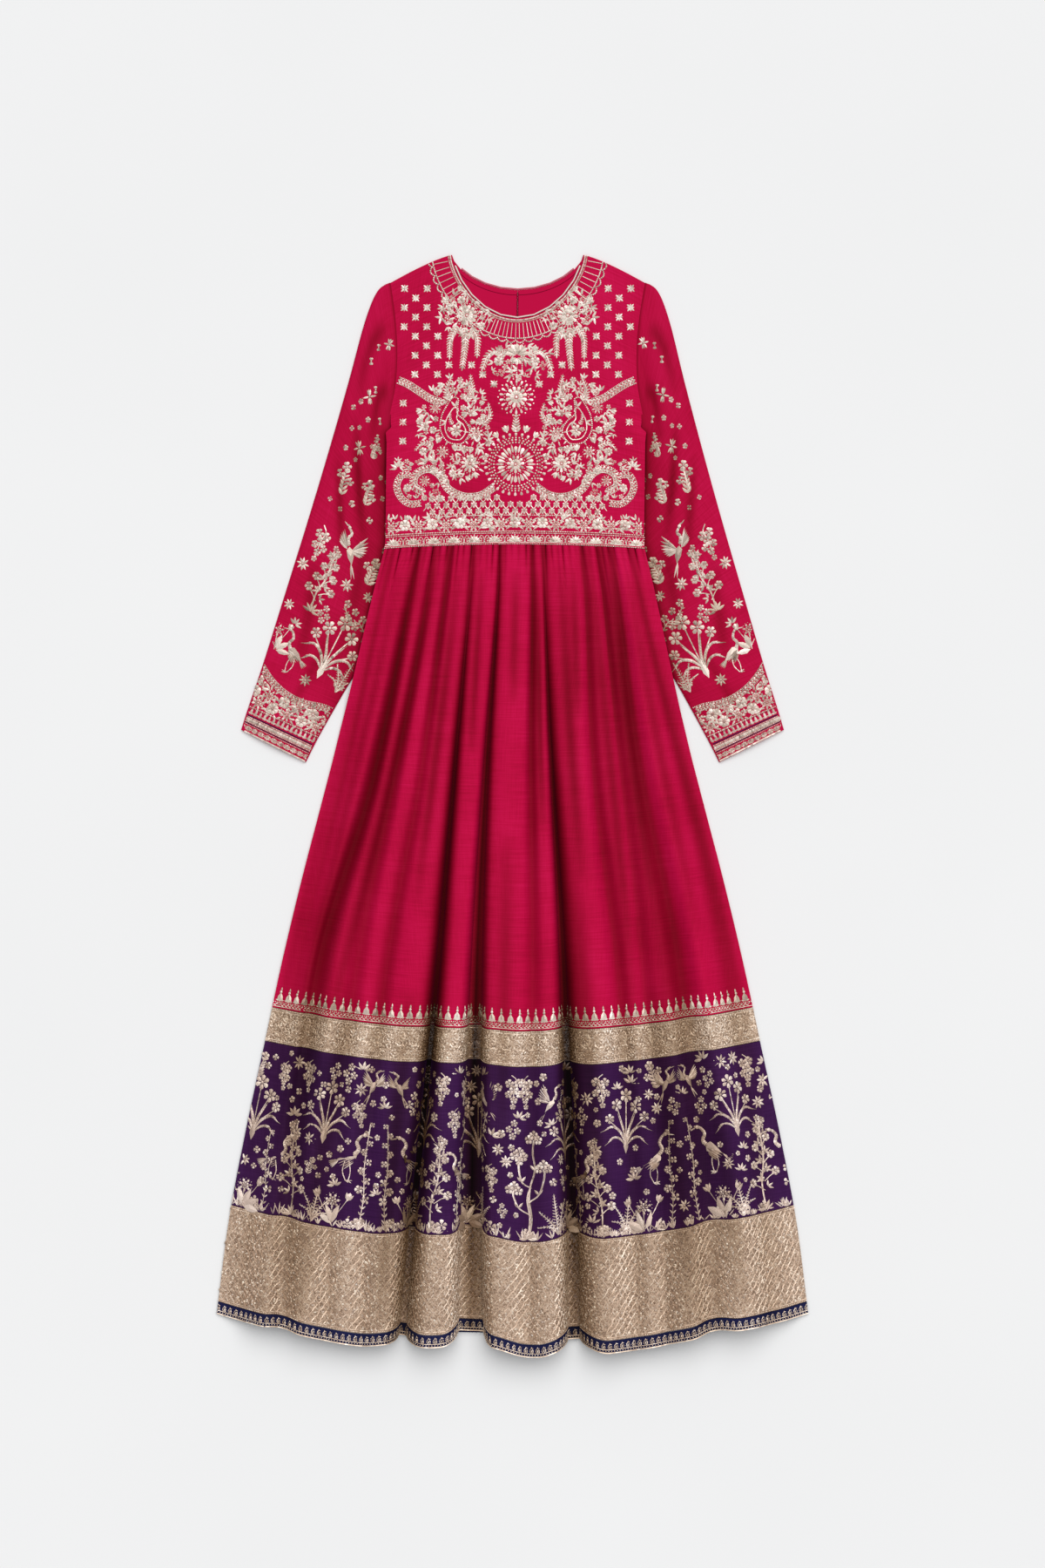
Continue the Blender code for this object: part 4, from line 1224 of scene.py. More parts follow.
def grid_placer(grid, depths, reference, shades=None):
    """Maps (mm across from the middle, mm below the top) to a point, tangent, normal and painted shade."""
    across = np.gradient(grid, axis=1)
    down = np.gradient(grid, axis=0)
    normals = unit(np.cross(down, across))
    normals *= np.sign(normals[..., 2:3]) + (normals[..., 2:3] == 0)
    steps = np.linalg.norm(np.diff(grid[reference], axis=0), axis=-1)
    run = np.r_[0.0, np.cumsum(steps)]
    run -= run[-1] / 2
    shades = np.zeros(grid.shape[:2]) if shades is None else shades

    def place(x, y):
        c = np.interp(x, run, np.arange(run.size))
        r = np.interp(-y, depths, np.arange(depths.size))
        inside = (x > run[0]) & (x < run[-1]) & (-y > depths[0]) & (-y < depths[-1])
        i, j = np.minimum(r.astype(int), len(grid) - 2), np.minimum(c.astype(int), grid.shape[1] - 2)
        u, w = (r - i)[:, None], (c - j)[:, None]

        def mix(values):
            upper = values[i, j] * (1 - w) + values[i, j + 1] * w
            return upper * (1 - u) + (values[i + 1, j] * (1 - w) + values[i + 1, j + 1] * w) * u

        return mix(grid), unit(mix(across)), unit(mix(normals)), inside, mix(shades[..., None])[:, 0]

    return place, run


def flat_placer(shell):
    """Maps plan points (x from the middle line, y) onto the top of a nearly flat shell."""
    tree = BVHTree.FromObject(shell, bpy.context.evaluated_depsgraph_get())

    def place(x, y):
        x = x + lean(y)
        hits = [tree.ray_cast(Vector((a * MM, b * MM, 1.0)), Vector((0, 0, -1))) for a, b in zip(x, y)]
        inside = np.array([hit[0] is not None and hit[1].z > 0.3 for hit in hits], bool)
        normal = np.array([hit[1] if hit[0] is not None else (0, 0, 1) for hit in hits])
        z = np.array([hit[0].z / MM if hit[0] is not None else 0.0 for hit in hits])
        tangent = unit(np.array([1.0, 0, 0]) - normal[:, :1] * normal)
        return np.stack([x, y, z - WALL / 2], axis=-1), tangent, unit(normal), inside, 0 * z

    return place


def stitched(name, place, motif, look, seed=1, lift=WALL / 2, spread=0.22):
    """One mesh of all the stitches of a motif, laid on cloth; each keeps a tone of its own and takes the
    cloth's painted shade.
    """
    rng = np.random.default_rng(seed)
    kind, x, y, turn, length, width, height = motif.T
    base, tangent, normal, inside, shade = place(x, y)
    reach = 0.9 * length * np.isin(kind, (LEAF, PETAL, THREAD))
    tips = place(x + reach * np.cos(np.radians(turn)), y + reach * np.sin(np.radians(turn)))
    inside = inside & tips[3]
    side = np.cross(normal, tangent)
    c, s = np.cos(np.radians(turn))[:, None], np.sin(np.radians(turn))[:, None]
    along = np.where(reach[:, None] > 3.0, unit(tips[0] - base), c * tangent + s * side)
    normal = unit(normal - (normal * along).sum(axis=1, keepdims=True) * along)
    over = np.cross(normal, along)
    tones = np.clip(rng.normal(0.5, spread, len(motif)), 0.0, 1.0)
    tilt = rng.uniform(-0.28, 0.28, (2, len(motif)))
    points, faces, uvs, values, dark, count = [], [], [], [], [], 0
    for number, (shape, triangles) in enumerate(UNIT_SHAPES):
        chosen = inside & (kind == number)
        n = int(chosen.sum())
        if not n:
            continue
        px, py, pz = (shape[None, :, k] for k in range(3))
        a, b = px * length[chosen, None], py * width[chosen, None]
        h = pz * height[chosen, None]
        if number == SEQUIN:
            h = h + a * tilt[0][chosen, None] + b * tilt[1][chosen, None]
        spot = (base[chosen] + lift * normal[chosen])[:, None]
        made = spot + a[..., None] * along[chosen, None] + b[..., None] * over[chosen, None]
        made = made + h[..., None] * normal[chosen, None]
        points.append(made.reshape(-1, 3))
        corners = (triangles[None] + (count + np.arange(n) * len(shape))[:, None, None]).reshape(-1, 3)
        faces.append(corners)
        uvs.append(np.stack([a.ravel(), b.ravel()], axis=-1))
        values.append(np.repeat(tones[chosen], len(shape)))
        # Painted shade of the cloth under each stitch.
        dark.append(np.repeat(shade[chosen], len(shape)))
        count += n * len(shape)
    faces = np.concatenate(faces)
    uvs = np.concatenate(uvs)[faces]
    obj = new_mesh_object(
        name, np.concatenate(points), faces.tolist(), uvs, look,
        tone=np.concatenate(values), shade=np.concatenate(dark),
    )
    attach(obj, "root")
    return obj


UNIT_SHAPES = unit_shapes()


# --- Embroidery of the bodice: x from the middle line, y as in the plan ----------------------


def neck_run(offset, step, reach=88):
    """Even steps beside the front neckline: x, y and the turn that points away from it."""
    x, y, turn = trail([neckline(a, FRONT_NECK_DEPTH) for a in range(-reach, reach + 1, 4)], 1.0)
    out = np.radians(turn - 90)
    x, y = x + offset * np.cos(out), y + offset * np.sin(out)
    run = np.r_[0.0, np.cumsum(np.hypot(np.diff(x), np.diff(y)))]
    at = np.linspace(0, run[-1], round(run[-1] / step) + 1)
    return np.interp(at, run, x), np.interp(at, run, y), np.interp(at, run, turn - 90), at


def neck_beads(offset, step, size, wave=0.0, period=1.0, kind=BEAD):
    x, y, out, at = neck_run(offset, step)
    push = wave * np.abs(np.sin(math.pi * at / period))
    x, y = x + push * np.cos(np.radians(out)), y + push * np.sin(np.radians(out))
    return rows_of(kind, x, y, out - 90, size, size, size * 0.7)


def collar():
    """Bead rows, a band of rays and a scalloped edge round the neckline."""
    x, y, out, _ = neck_run(6.6, 0.6)
    rays = np.floor(np.cumsum(0.6 / np.where(np.abs(x) < 50, 4.6, 7.2)))
    x, y, out = (c[np.diff(rays, prepend=-1) > 0] for c in (x, y, out))
    return np.concatenate([
        neck_beads(2.2, 1.7, 2.2),
        neck_beads(4.6, 2.2, 2.3, kind=SEQUIN),
        rows_of(THREAD, x, y, out, 19.0, 1.1, 0.9),
        neck_beads(26.2, 2.0, 2.1),
        neck_beads(28.6, 2.0, 2.4, wave=3.4, period=12.0),
    ])


def garland(points, width=9.0, step=4.4):
    """A band along a path: beads down both edges and close pairs of petals between them."""
    x, y, turn = trail(points, 2.2)
    across = np.radians(turn + 90)
    edges = [
        rows_of(BEAD, x + k * np.cos(across), y + k * np.sin(across), turn, 2.0, 2.0, 1.4)
        for k in (-width / 2, width / 2)
    ]
    px, py, heading = trail(points, step)
    petals = [
        rows_of(PETAL, px, py, heading + side, width * 0.58, width * 0.42, 1.0) for side in (42, -42)
    ]
    sequins = rows_of(SEQUIN, px, py, heading, 2.6, 2.6, 1.5)
    return np.concatenate([*edges, *petals, sequins])


def leaf_bunch(count, radius, size, start=90.0, sweep=360.0):
    return fan(LEAF, count, radius, size, size * 0.38, start, sweep, 0.9)


BUNCH_MOTIFS = (
    blossom(4.6, 6), blossom(3.8, 5), blossom(5.4, 7), cluster(2.6), leaf_bunch(3, 0.5, 8.0, 90, 80),
    leaf_bunch(4, 0.5, 6.5, 90, 150), leaf_bunch(2, 0.5, 9.0, 90, 50), tulip(8.0),
)


def oval(x0, y0, rx, ry):
    return lambda x, y: ((x - x0) / rx) ** 2 + ((y - y0) / ry) ** 2 < 1


def shoulder_spray():
    """A large flower among leaves and small flowers, with drooping sprays below."""
    droops = [
        sprig([(-6, -16), (-14, -30), (-14, -50)], 7.4, 3.0, 3.5, 46, 0.3),
        sprig([(3, -16), (2, -38), (5, -66)], 8.2, 3.2, 3.6, 46, 0.3),
        sprig([(12, -14), (21, -30), (22, -52)], 7.4, 3.0, 3.5, 46, 0.3),
    ]
    ground = np.concatenate([
        rosette(15.5, 13), leaf_bunch(14, 15.5, 9.0), *droops,
        moved(tulip(10.0), -24, 14, 50), moved(tulip(10.0), 25, 17, -50),
    ])
    return scattered(ground, BUNCH_MOTIFS, (-34, -26, 36, 34), 2.3, 5, 700, 180, keep=oval(1, 5, 35, 30))


def lotus(size=12.0):
    outer = fan(PETAL, 7, size * 0.1, size, size * 0.42, start=90, sweep=150, height=1.1)
    inner = fan(PETAL, 3, size * 0.1, size * 0.62, size * 0.3, start=90, sweep=60, height=1.5)
    return np.concatenate([outer, inner, fan(BEAD, 7, size * 1.18, 1.8, 1.8, start=90, sweep=160)])


def neck_drop():
    """A lotus under the collar with strings of beads, between two leafy arcs."""
    parts = [moved(lotus(15.0), 0, 588), moved(fan(PETAL, 5, 1.0, 9.0, 4.6, 270, 130), 0, 586)]
    for x, low in ((0, 562), (-7, 567), (7, 567)):
        parts.append(beaded([(x, 580), (x, low + 4)], 2.3, 2.0))
        parts.append(stitch(PETAL, x, low + 4, -90, 6.5, 4.2, 1.1))
    arc = sprig([(15, 588), (27, 594), (38, 588), (44, 574)], 8.0, 3.4, 3.8, 48, 0.3)
    ground = np.concatenate([*parts, both(arc), both(moved(blossom(6.4, 7), 24, 581))])
    return scattered(
        ground, BUNCH_MOTIFS, (-46, 556, 46, 604), 2.4, 8, 300, 180, keep=oval(0, 581, 46, 25),
        others=(collar(),),
    )


def medallion():
    ring = fan(PETAL, 18, 16.0, 6.5, 3.6, height=0.9)
    return moved(np.concatenate([rosette(16.0, 12), ring, fan(BEAD, 18, 24.0, 2.2, 2.2, 100)]), 0, 534)


SIDE_SWAG = [(154, 556), (141, 550), (127, 541), (113, 532), (100, 528)]


def side_bouquet():
    """A paisley with flowers and leaves crowded about it, right of the middle."""
    ground = np.concatenate([
        moved(paisley(), 80, 496, -16, 1.22),
        moved(rosette(13.0, 11), 60, 447), moved(leaf_bunch(12, 13.5, 8.0), 60, 447),
        moved(rosette(10.0, 9), 52, 486), moved(leaf_bunch(9, 10.5, 7.0), 52, 486),
        moved(rosette(8.5, 8), 96, 462), moved(rosette(8.0, 8), 106, 520),
        sprig([(86, 530), (92, 543), (86, 558)], 7.6, 3.2, 3.6),
        sprig([(66, 528), (58, 543), (60, 560)], 7.6, 3.2, 3.6),
        sprig([(44, 498), (34, 509), (36, 523)], 7.0, 3.0, 3.6),
        sprig([(108, 470), (121, 474), (130, 466)], 7.0, 3.0, 3.6),
    ])
    return scattered(
        ground, BUNCH_MOTIFS, (34, 428, 128, 562), 2.4, 12, 1500, 180, keep=oval(80, 492, 48, 68),
        others=(garland(SIDE_SWAG, 8.5), mandala()),
    )


def mandala():
    """The middle figure: rings of petals and beads round a flower, with a pointed crest."""
    rings = np.concatenate([
        rosette(13.0, 11),
        fan(PETAL, 14, 13.5, 10.5, 5.4, height=1.1),
        fan(LEAF, 14, 15.0, 12.0, 3.2, 103, height=0.9),
        fan(BEAD, 44, 28.6, 2.6, 2.6, height=1.7),
        fan(SEQUIN, 40, 31.8, 3.0, 3.0, height=1.3),
        fan(BEAD, 50, 34.8, 2.4, 2.4, height=1.5),
        fan(PETAL, 30, 36.0, 5.4, 4.2, height=0.9),
    ])
    crest = np.concatenate([
        sprig([(0, 42), (0, 52), (0, 62)], 9.0, 3.8, 3.8, 46, 0.5),
        both(moved(tulip(9.5), 12, 42, -18)),
        both(moved(tulip(8.5), 24, 35, -34)),
    ])
    return moved(np.concatenate([rings, crest]), 0, 446)


def side_scrolls():
    """Garlands that roll out from the middle figure to the side seams."""
    outer = garland([(28, 416), (46, 405), (68, 404), (88, 414), (99, 432), (114, 440), (130, 433),
                     (133, 418), (122, 410)], 9.0)
    inner = garland([(124, 395), (138, 394), (150, 403), (155, 418), (149, 431), (140, 432)], 7.6)
    swag = garland(SIDE_SWAG, 8.5)
    ground = np.concatenate([
        outer, inner, swag, moved(rosette(7.5, 8), 119, 424),
        moved(leaf_bunch(6, 3, 11.0, 80, 160), 114, 447),
        moved(blossom(5.5, 7), 141, 415), moved(leaf_bunch(5, 2, 10.0, 60, 130), 153, 440),
    ])
    return both(scattered(ground, BUNCH_MOTIFS, (96, 396, 158, 450), 2.4, 15, 260, 180, (0.7, 1.0)))


def lattice_of_florets():
    """Staggered rows of small flowers joined by slanting threads, over a bead line."""
    parts = []
    for row, y in enumerate((403.0, 394.0, 385.4)):
        for k in range(-10, 11):
            x = k * 12.0 + 6.0 * (row % 2)
            if abs(x) > 116 or (row == 0 and abs(x) < 24):
                continue
            parts.append(moved(blossom(4.3, 6), x, y))
            for side, turn in ((-1, -128), (1, -52)):
                parts.append(stitch(THREAD, x + 3.0 * side, y - 2.4, turn, 5.0, 1.3))
    x = np.arange(-114, 115, 2.4)
    parts.append(rows_of(BEAD, x, 379.6 + 0 * x, 0, 1.9, 1.9, 1.2))
    return np.concatenate(parts)


def floral_band():
    """The dense band above the waist: flowers, leaves and buds in a running row."""
    parts = []
    for k, x in enumerate(np.arange(-162, 163, 18.0)):
        y = 368.5 + (1.6 if k % 2 else -1.0)
        flower = rosette(9.6, 8) if k % 2 == 0 else blossom(7.6, 7)
        parts.append(moved(np.concatenate([flower, leaf_bunch(7, 7.6, 7.0, 90 + 25 * (k % 2))]), x, y))
    x = np.arange(-168, 168, 2.3)
    parts.append(rows_of(BEAD, x, 358.6 + 0 * x, 0, 1.9, 1.9, 1.2))
    return scattered(np.concatenate(parts), BUNCH_MOTIFS, (-166, 361.5, 166, 378.5), 2.2, 23, 1300, 180,
                     (0.85, 1.15))


def sagged(motif):
    out = np.array(motif)
    out[:, 2] += SAG_AT_WAIST * (out[:, 1] / SIDE_HALF) ** 2
    return out


def star_field(others, pitch=29.6, rise=25.0, clear=10.5):
    """Staggered small stars that keep clear of the other motifs."""
    parts = []
    for row in range(24):
        for k in range(-6, 7):
            x, y = (k + 0.5 * (row % 2)) * pitch, 676.0 - row * rise / 2
            near = np.hypot(others[:, 1] - x, others[:, 2] - y).min()
            if near > clear and abs(x) < side_x(np.array(y)) - 9 and y < shoulder_y(np.array(abs(x))) - 10:
                parts.append(moved(star(6.0), x, y, 45 + 5 * math.sin(3 * x + y)))
    return np.concatenate(parts)


def waistband_row():
    """Lotus heads in a row with small arches between, edged by two lines of beads."""
    x = np.arange(-170.0, 170.1, 2.2)
    parts = [rows_of(BEAD, x, y + 0 * x, 0, 1.7, 1.7, 1.3) for y in (342.2, 356.1)]
    parts.append(stem([(-170, 344.2), (170, 344.2)], 0.8, 4.0))
    for k in range(-6, 7):
        place = k * 26.5
        parts.append(moved(lotus(8.0), place, 344.6))
        parts.append(stitch(SEQUIN, place, 346.0, 0, 3.6, 3.6, 1.6))
        for off in (9.6, 16.9):
            arch = beaded([(-3.1, 0), (-2.8, 5), (0, 8.4), (2.8, 5), (3.1, 0)], 1.5, 1.5)
            parts.append(moved(arch, place + off, 345.2))
            parts.append(stitch(PETAL, place + off, 345.8, 90, 5.0, 1.8, 1.0))
    return np.concatenate(parts)


# --- Embroidery of the sleeves: x from the middle of the sleeve, y up from the cuff's edge ----


def cuff_bands():
    """The cuff upwards: cord, flower net, silver band, spires, floral band and garland."""
    x = np.arange(-66.0, 66.1, 1.0)
    parts = [stem([(-66, 1.0), (66, 1.0)], 2.2, 4.0)]
    for h, size in ((11.2, 1.4), (14.4, 1.9), (21.0, 1.9), (34.6, 1.7)):
        parts.append(rows_of(BEAD, x[::2], h + 0 * x[::2], 0, size, size, size * 0.7))
    for place in np.arange(-64, 65, 9.4):
        parts.append(moved(blossom(3.3, 6, 0.85), place, 6.2))
        parts += [stitch(LEAF, place + 4.7, 6.2, turn, 3.9, 1.4, 0.9) for turn in (50, 130, 230, 310)]
    for place in np.arange(-65, 66, 4.4):
        parts.append(stitch(PETAL, place, 14.6, 90, 5.4, 4.5, 1.3))
        parts.append(stitch(PETAL, place + 2.2, 20.6, -90, 5.4, 4.3, 1.3))
    for place in np.arange(-65, 66, 6.4):
        parts.append(moved(np.concatenate([
            stitch(LEAF, 0, 0, 90, 8.4, 3.6, 1.0), both(stitch(LEAF, 0.4, 0, 40, 4.0, 2.0, 0.8)),
            stitch(BEAD, 0, 9.2, 0, 2.3, 2.3, 1.2),
        ]), place, 25.4))
    line = garland([(-66, 70), (-40, 71.5), (-14, 67), (12, 69), (38, 79), (66, 98)], 7.6)
    for k, place in enumerate(np.arange(-62, 65, 20.5)):
        for level, off in ((44.0, 0.0), (58.0, 10.2)):
            flower = rosette(9.4, 8) if (k + (level > 45)) % 2 else blossom(8.0, 7)
            ring = leaf_bunch(7, 8.2, 7.4, 20 * k)
            parts.append(moved(np.concatenate([flower, ring]), place + off, level))
    ground = np.concatenate([*parts, line])
    return scattered(ground, BUNCH_MOTIFS, (-64, 37, 64, 84), 2.2, 31, 1300, 180, (0.85, 1.25),
                     keep=lambda x, y: (y > 36.5) & (y < 66 + np.clip(x, 0, 99) * 0.42))


def small_sprig(size=1.0):
    return moved(np.concatenate([
        sprig([(0, 0), (1, 9), (0, 19)], 8.0, 3.4, 4.2, 46, 0.4), moved(blossom(5.2, 6), 0, 24),
        both(moved(blossom(4.2), 7.4, 15)),
    ]), size=size)


def leafy_star(size=7.0):
    return np.concatenate([fan(LEAF, 8, 1.0, size, 2.8), stitch(BEAD, 0, 0, 0, 3.0, 3.0, 1.9)])


def flower_spray():
    """Three curved stems from one foot, each ending in a flower."""
    parts = [fan(LEAF, 3, 0.5, 9.0, 3.2, -90, 110)]
    for reach, high in ((0, 30), (13, 23), (-14, 25)):
        parts.append(sprig([(0, 0), (reach * 0.3, high * 0.5), (reach, high)], 5.4, 2.4, 4.6, 44, 0.3))
        parts.append(moved(blossom(5.8, 6), reach, high + 3))
    return np.concatenate(parts)


def flower_tree(height=84.0):
    """A short tree with flowers crowded on its boughs."""
    parts = [stem([(0, 0), (3, height * 0.3), (-1, height * 0.6), (1, height)], 2.4, 3.6)]
    for k, share in enumerate(np.linspace(0.3, 1.0, 8)):
        side = (-1) ** k
        reach = 19 * (1.15 - share)
        x, y = side * reach, height * share
        parts += [stem([(0, y - 9), (x * 0.5, y - 3), (x, y)], 1.4, 3.0),
                  moved(blossom(6.4 - 1.6 * share, 6), x, y + 2)]
        parts.append(moved(leaf_bunch(3, 0.5, 8.0, 90 + 60 * side, 110), -side * 3, y - 5))
        parts.append(moved(blossom(3.9, 5), x * 0.45 - side * 4, y + 6))
    return np.concatenate([*parts, fan(LEAF, 6, 1.0, 12.0, 4.0, 90, 170)])


SPRAY_MOTIFS = (
    small_sprig(1.0), small_sprig(1.2), flower_spray(), cluster(3.8), leafy_star(7.0), small_sprig(0.85),
    moved(flower_spray(), size=0.85), leaf_bunch(5, 1.0, 9.5, 90, 150),
)
FLORETS = (blossom(3.3, 4, 0.9, 45), blossom(3.0, 5, 0.85), blossom(3.8, 5, 0.8))


def sleeve_garden():
    """Plants and birds above the cuff, then sprigs and small florets that thin out upwards."""
    bands = cuff_bands()
    ground = np.concatenate([
        moved(lily(), -18, 122, 4, 1.1), moved(wader(), 22, 96, 0, 0.9),
        moved(daisy_bush(), 50, 116, -14, 1.0),
        moved(fern(46.0), -46, 96, 8), moved(flower_tree(80.0), 26, 178, 4, 1.0),
        moved(bough(30.0), -50, 190, 0, 1.1),
        moved(flyer(), 4, 268, 8, 1.1), moved(hanging_cluster(), 46, 268, 0, 1.1),
        moved(small_sprig(1.4), -34, 250, 6),
        moved(small_sprig(1.3), 40, 322, -8), moved(small_sprig(1.2), 0, 338, 4),
        moved(leafy_star(9.0), 32, 386),
    ])
    ground = scattered(ground, SPRAY_MOTIFS, (-58, 86, 60, 240), 10.0, 77, 500, 24, (0.9, 1.2),
                       others=(bands,))
    ground = scattered(ground, (small_sprig(0.9),), (-44, 300, 52, 400), 26.0, 79, 60, 24, (0.8, 1.1))
    ground = scattered(ground, FLORETS, (-60, 90, 62, 430), 13.0, 78, 220, 180, (1.0, 1.4), others=(bands,))
    high = (moved(leafy_star(9.0), 30, 452), moved(cluster(4.0), -6, 428), moved(blossom(5.0, 4), 44, 484),
            moved(blossom(5.0, 4), 12, 478), moved(blossom(4.6, 4), 36, 510),
            moved(leafy_star(7.0), 16, 536),
            moved(blossom(5.0, 4), -14, 462))
    return bolder(np.concatenate([bands, ground, *high]), 1.1, 1.15)


# --- Embroidery of the skirt: x along the cloth from the middle, y 0 at the waist, down to -1061


def spire_row(reach, step=12.0):
    """Broad finials topped with a bead, in a row over a strip of slanting stitches."""
    x = np.arange(-reach, reach, 2.6)
    slant = np.where(np.arange(x.size) % 2, 28.0, -28.0)
    parts = [
        rows_of(LEAF, x, -630.6 + 0 * x, slant, 4.6, 2.1, 0.7),
        stem([(-reach, -633.4), (reach, -633.4)], 0.9, 5.0),
        rows_of(BEAD, x, -627.6 + 0 * x, 0, 1.6, 1.6, 1.0),
    ]
    spire = np.concatenate([
        stitch(PETAL, 0, 12.5, -90, 12.0, 9.6, 1.5), stitch(LEAF, 0, 2.0, 90, 9.5, 3.4, 2.2),
        both(stitch(LEAF, 1.6, 1.2, 16, 4.2, 2.4, 1.0)), stitch(BEAD, 0, 13.4, 0, 3.8, 3.8, 2.0),
        stitch(LEAF, 0, 14.2, 90, 5.4, 2.6, 1.0),
    ])
    for k in range(-int(reach / step), int(reach / step) + 1):
        parts.append(moved(spire, k * step, -626.6))
    return np.concatenate(parts)


def edge_lines(reach, top, bottom):
    """Bead lines just inside the upper and lower edges of a band."""
    x = np.arange(-reach, reach, 2.2)
    rows = [rows_of(BEAD, x, y + 0 * x, 0, 2.0, 2.0, 1.3) for y in (-top - 1.4, -bottom + 1.4)]
    lines = [stem([(-reach, y), (reach, y)], 1.1, 5.0) for y in (-top - 3.6, -bottom + 3.6)]
    return np.concatenate(rows + lines)


def vine_band(reach, top, bottom, pitch=17.5):
    """Two staggered rows of ringed flowers, joined by curling vines; also where the flowers are."""
    rows = (-(top + 13.5), -(bottom - 13.0))
    places = [((k + 0.5 * (n % 2)) * pitch, y) for n, y in enumerate(rows)
              for k in range(-int(reach / pitch) - 1, int(reach / pitch) + 2)]
    flower = np.concatenate([rosette(7.4, 7), fan(THREAD, 14, 7.6, 2.9, 1.5, height=0.8)])
    parts = [moved(flower, x, y) for x, y in places]
    for k in range(-int(reach / pitch) - 1, int(reach / pitch) + 1):
        low, high = rows[1], rows[0]
        x = k * pitch
        parts.append(stem([(x, high - 7), (x + 3, high - 11), (x + 9, low + 9)], 1.6))
        parts.append(stem([(x + 9, high + 6), (x + 11, high), (x + 9, high - 9), (x + 12, low + 8)], 1.6))
        parts.append(moved(leaf_pair(6.0), x + 9, high - 3, 90))
        parts.append(moved(leaf_pair(6.0), x, low + 1, -90))
    out = np.concatenate(parts)
    inside = (out[:, 2] < -top - 4.4) & (out[:, 2] > -bottom + 4.4) & (np.abs(out[:, 1]) < reach)
    return out[inside], np.array(places)


def close_fill(reach, top, bottom, pitch, seed, clear=None):
    """Short stitches and sequins packed over a band, turned at random."""
    rng = np.random.default_rng(seed)
    x, y = np.meshgrid(np.arange(-reach, reach, pitch), np.arange(top + 4.8, bottom - 4.4, pitch))
    x = (x + rng.uniform(-1.4, 1.4, x.shape)).ravel()
    y = (-y + rng.uniform(-1.4, 1.4, y.shape)).ravel()
    out = rows_of(LEAF, x, y, rng.uniform(0, 360, x.size), rng.uniform(4.2, 6.4, x.size), 2.3, 1.0)
    chosen = rng.random(x.size) < 0.40
    out[chosen, 0] = SEQUIN
    out[chosen, 4:] = (3.6, 3.6, 1.3)
    if clear is not None:
        near = np.hypot(x[:, None] - clear[:, 0], y[:, None] - clear[:, 1]).min(axis=1)
        out = out[near > 6.4]
    return out


def lattice(reach, top, bottom, pitch=8.6, slope=56.0):
    """Fine cords crossing in diamonds over a band."""
    height = bottom - top - 9.0
    along = np.arange(0, height / math.sin(math.radians(slope)), 5.6)
    rng = np.random.default_rng(12)
    parts = []
    for side in (-1, 1):
        turn = 90 + side * (90 - slope)
        start = np.arange(-reach - height, reach + height, pitch)
        x, step = np.meshgrid(start, along, indexing="ij")
        x = x + step * math.cos(math.radians(turn))
        y = -bottom + 4.5 + step * math.sin(math.radians(turn))
        x, y = (c.ravel() + rng.normal(0, 0.45, c.size) for c in (x, y))
        parts.append(rows_of(THREAD, x, y, turn + rng.normal(0, 6, x.size), 5.9,
                             rng.uniform(1.1, 1.8, x.size), 1.3))
    out = np.concatenate(parts)
    return out[np.abs(out[:, 1]) < reach - 3]


def sprinkled(reach, top, bottom, count):
    """Loose bright sequins."""
    rng = np.random.default_rng(77)
    x, y = rng.uniform(-reach, reach, count), rng.uniform(-bottom, -top, count)
    size = rng.uniform(1.7, 3.0, count)
    return rows_of(SEQUIN, x, y, rng.uniform(0, 360, count), size, size, 1.5)


FOOT = -907.0


def bolder(motif, leaf=1.15, thread=1.0):
    """The same stitches, laid thicker."""
    out = np.array(motif)
    out[:, 5] *= np.where(out[:, 0] == THREAD, thread, np.where(out[:, 0] <= PETAL, leaf, 1.0))
    return out


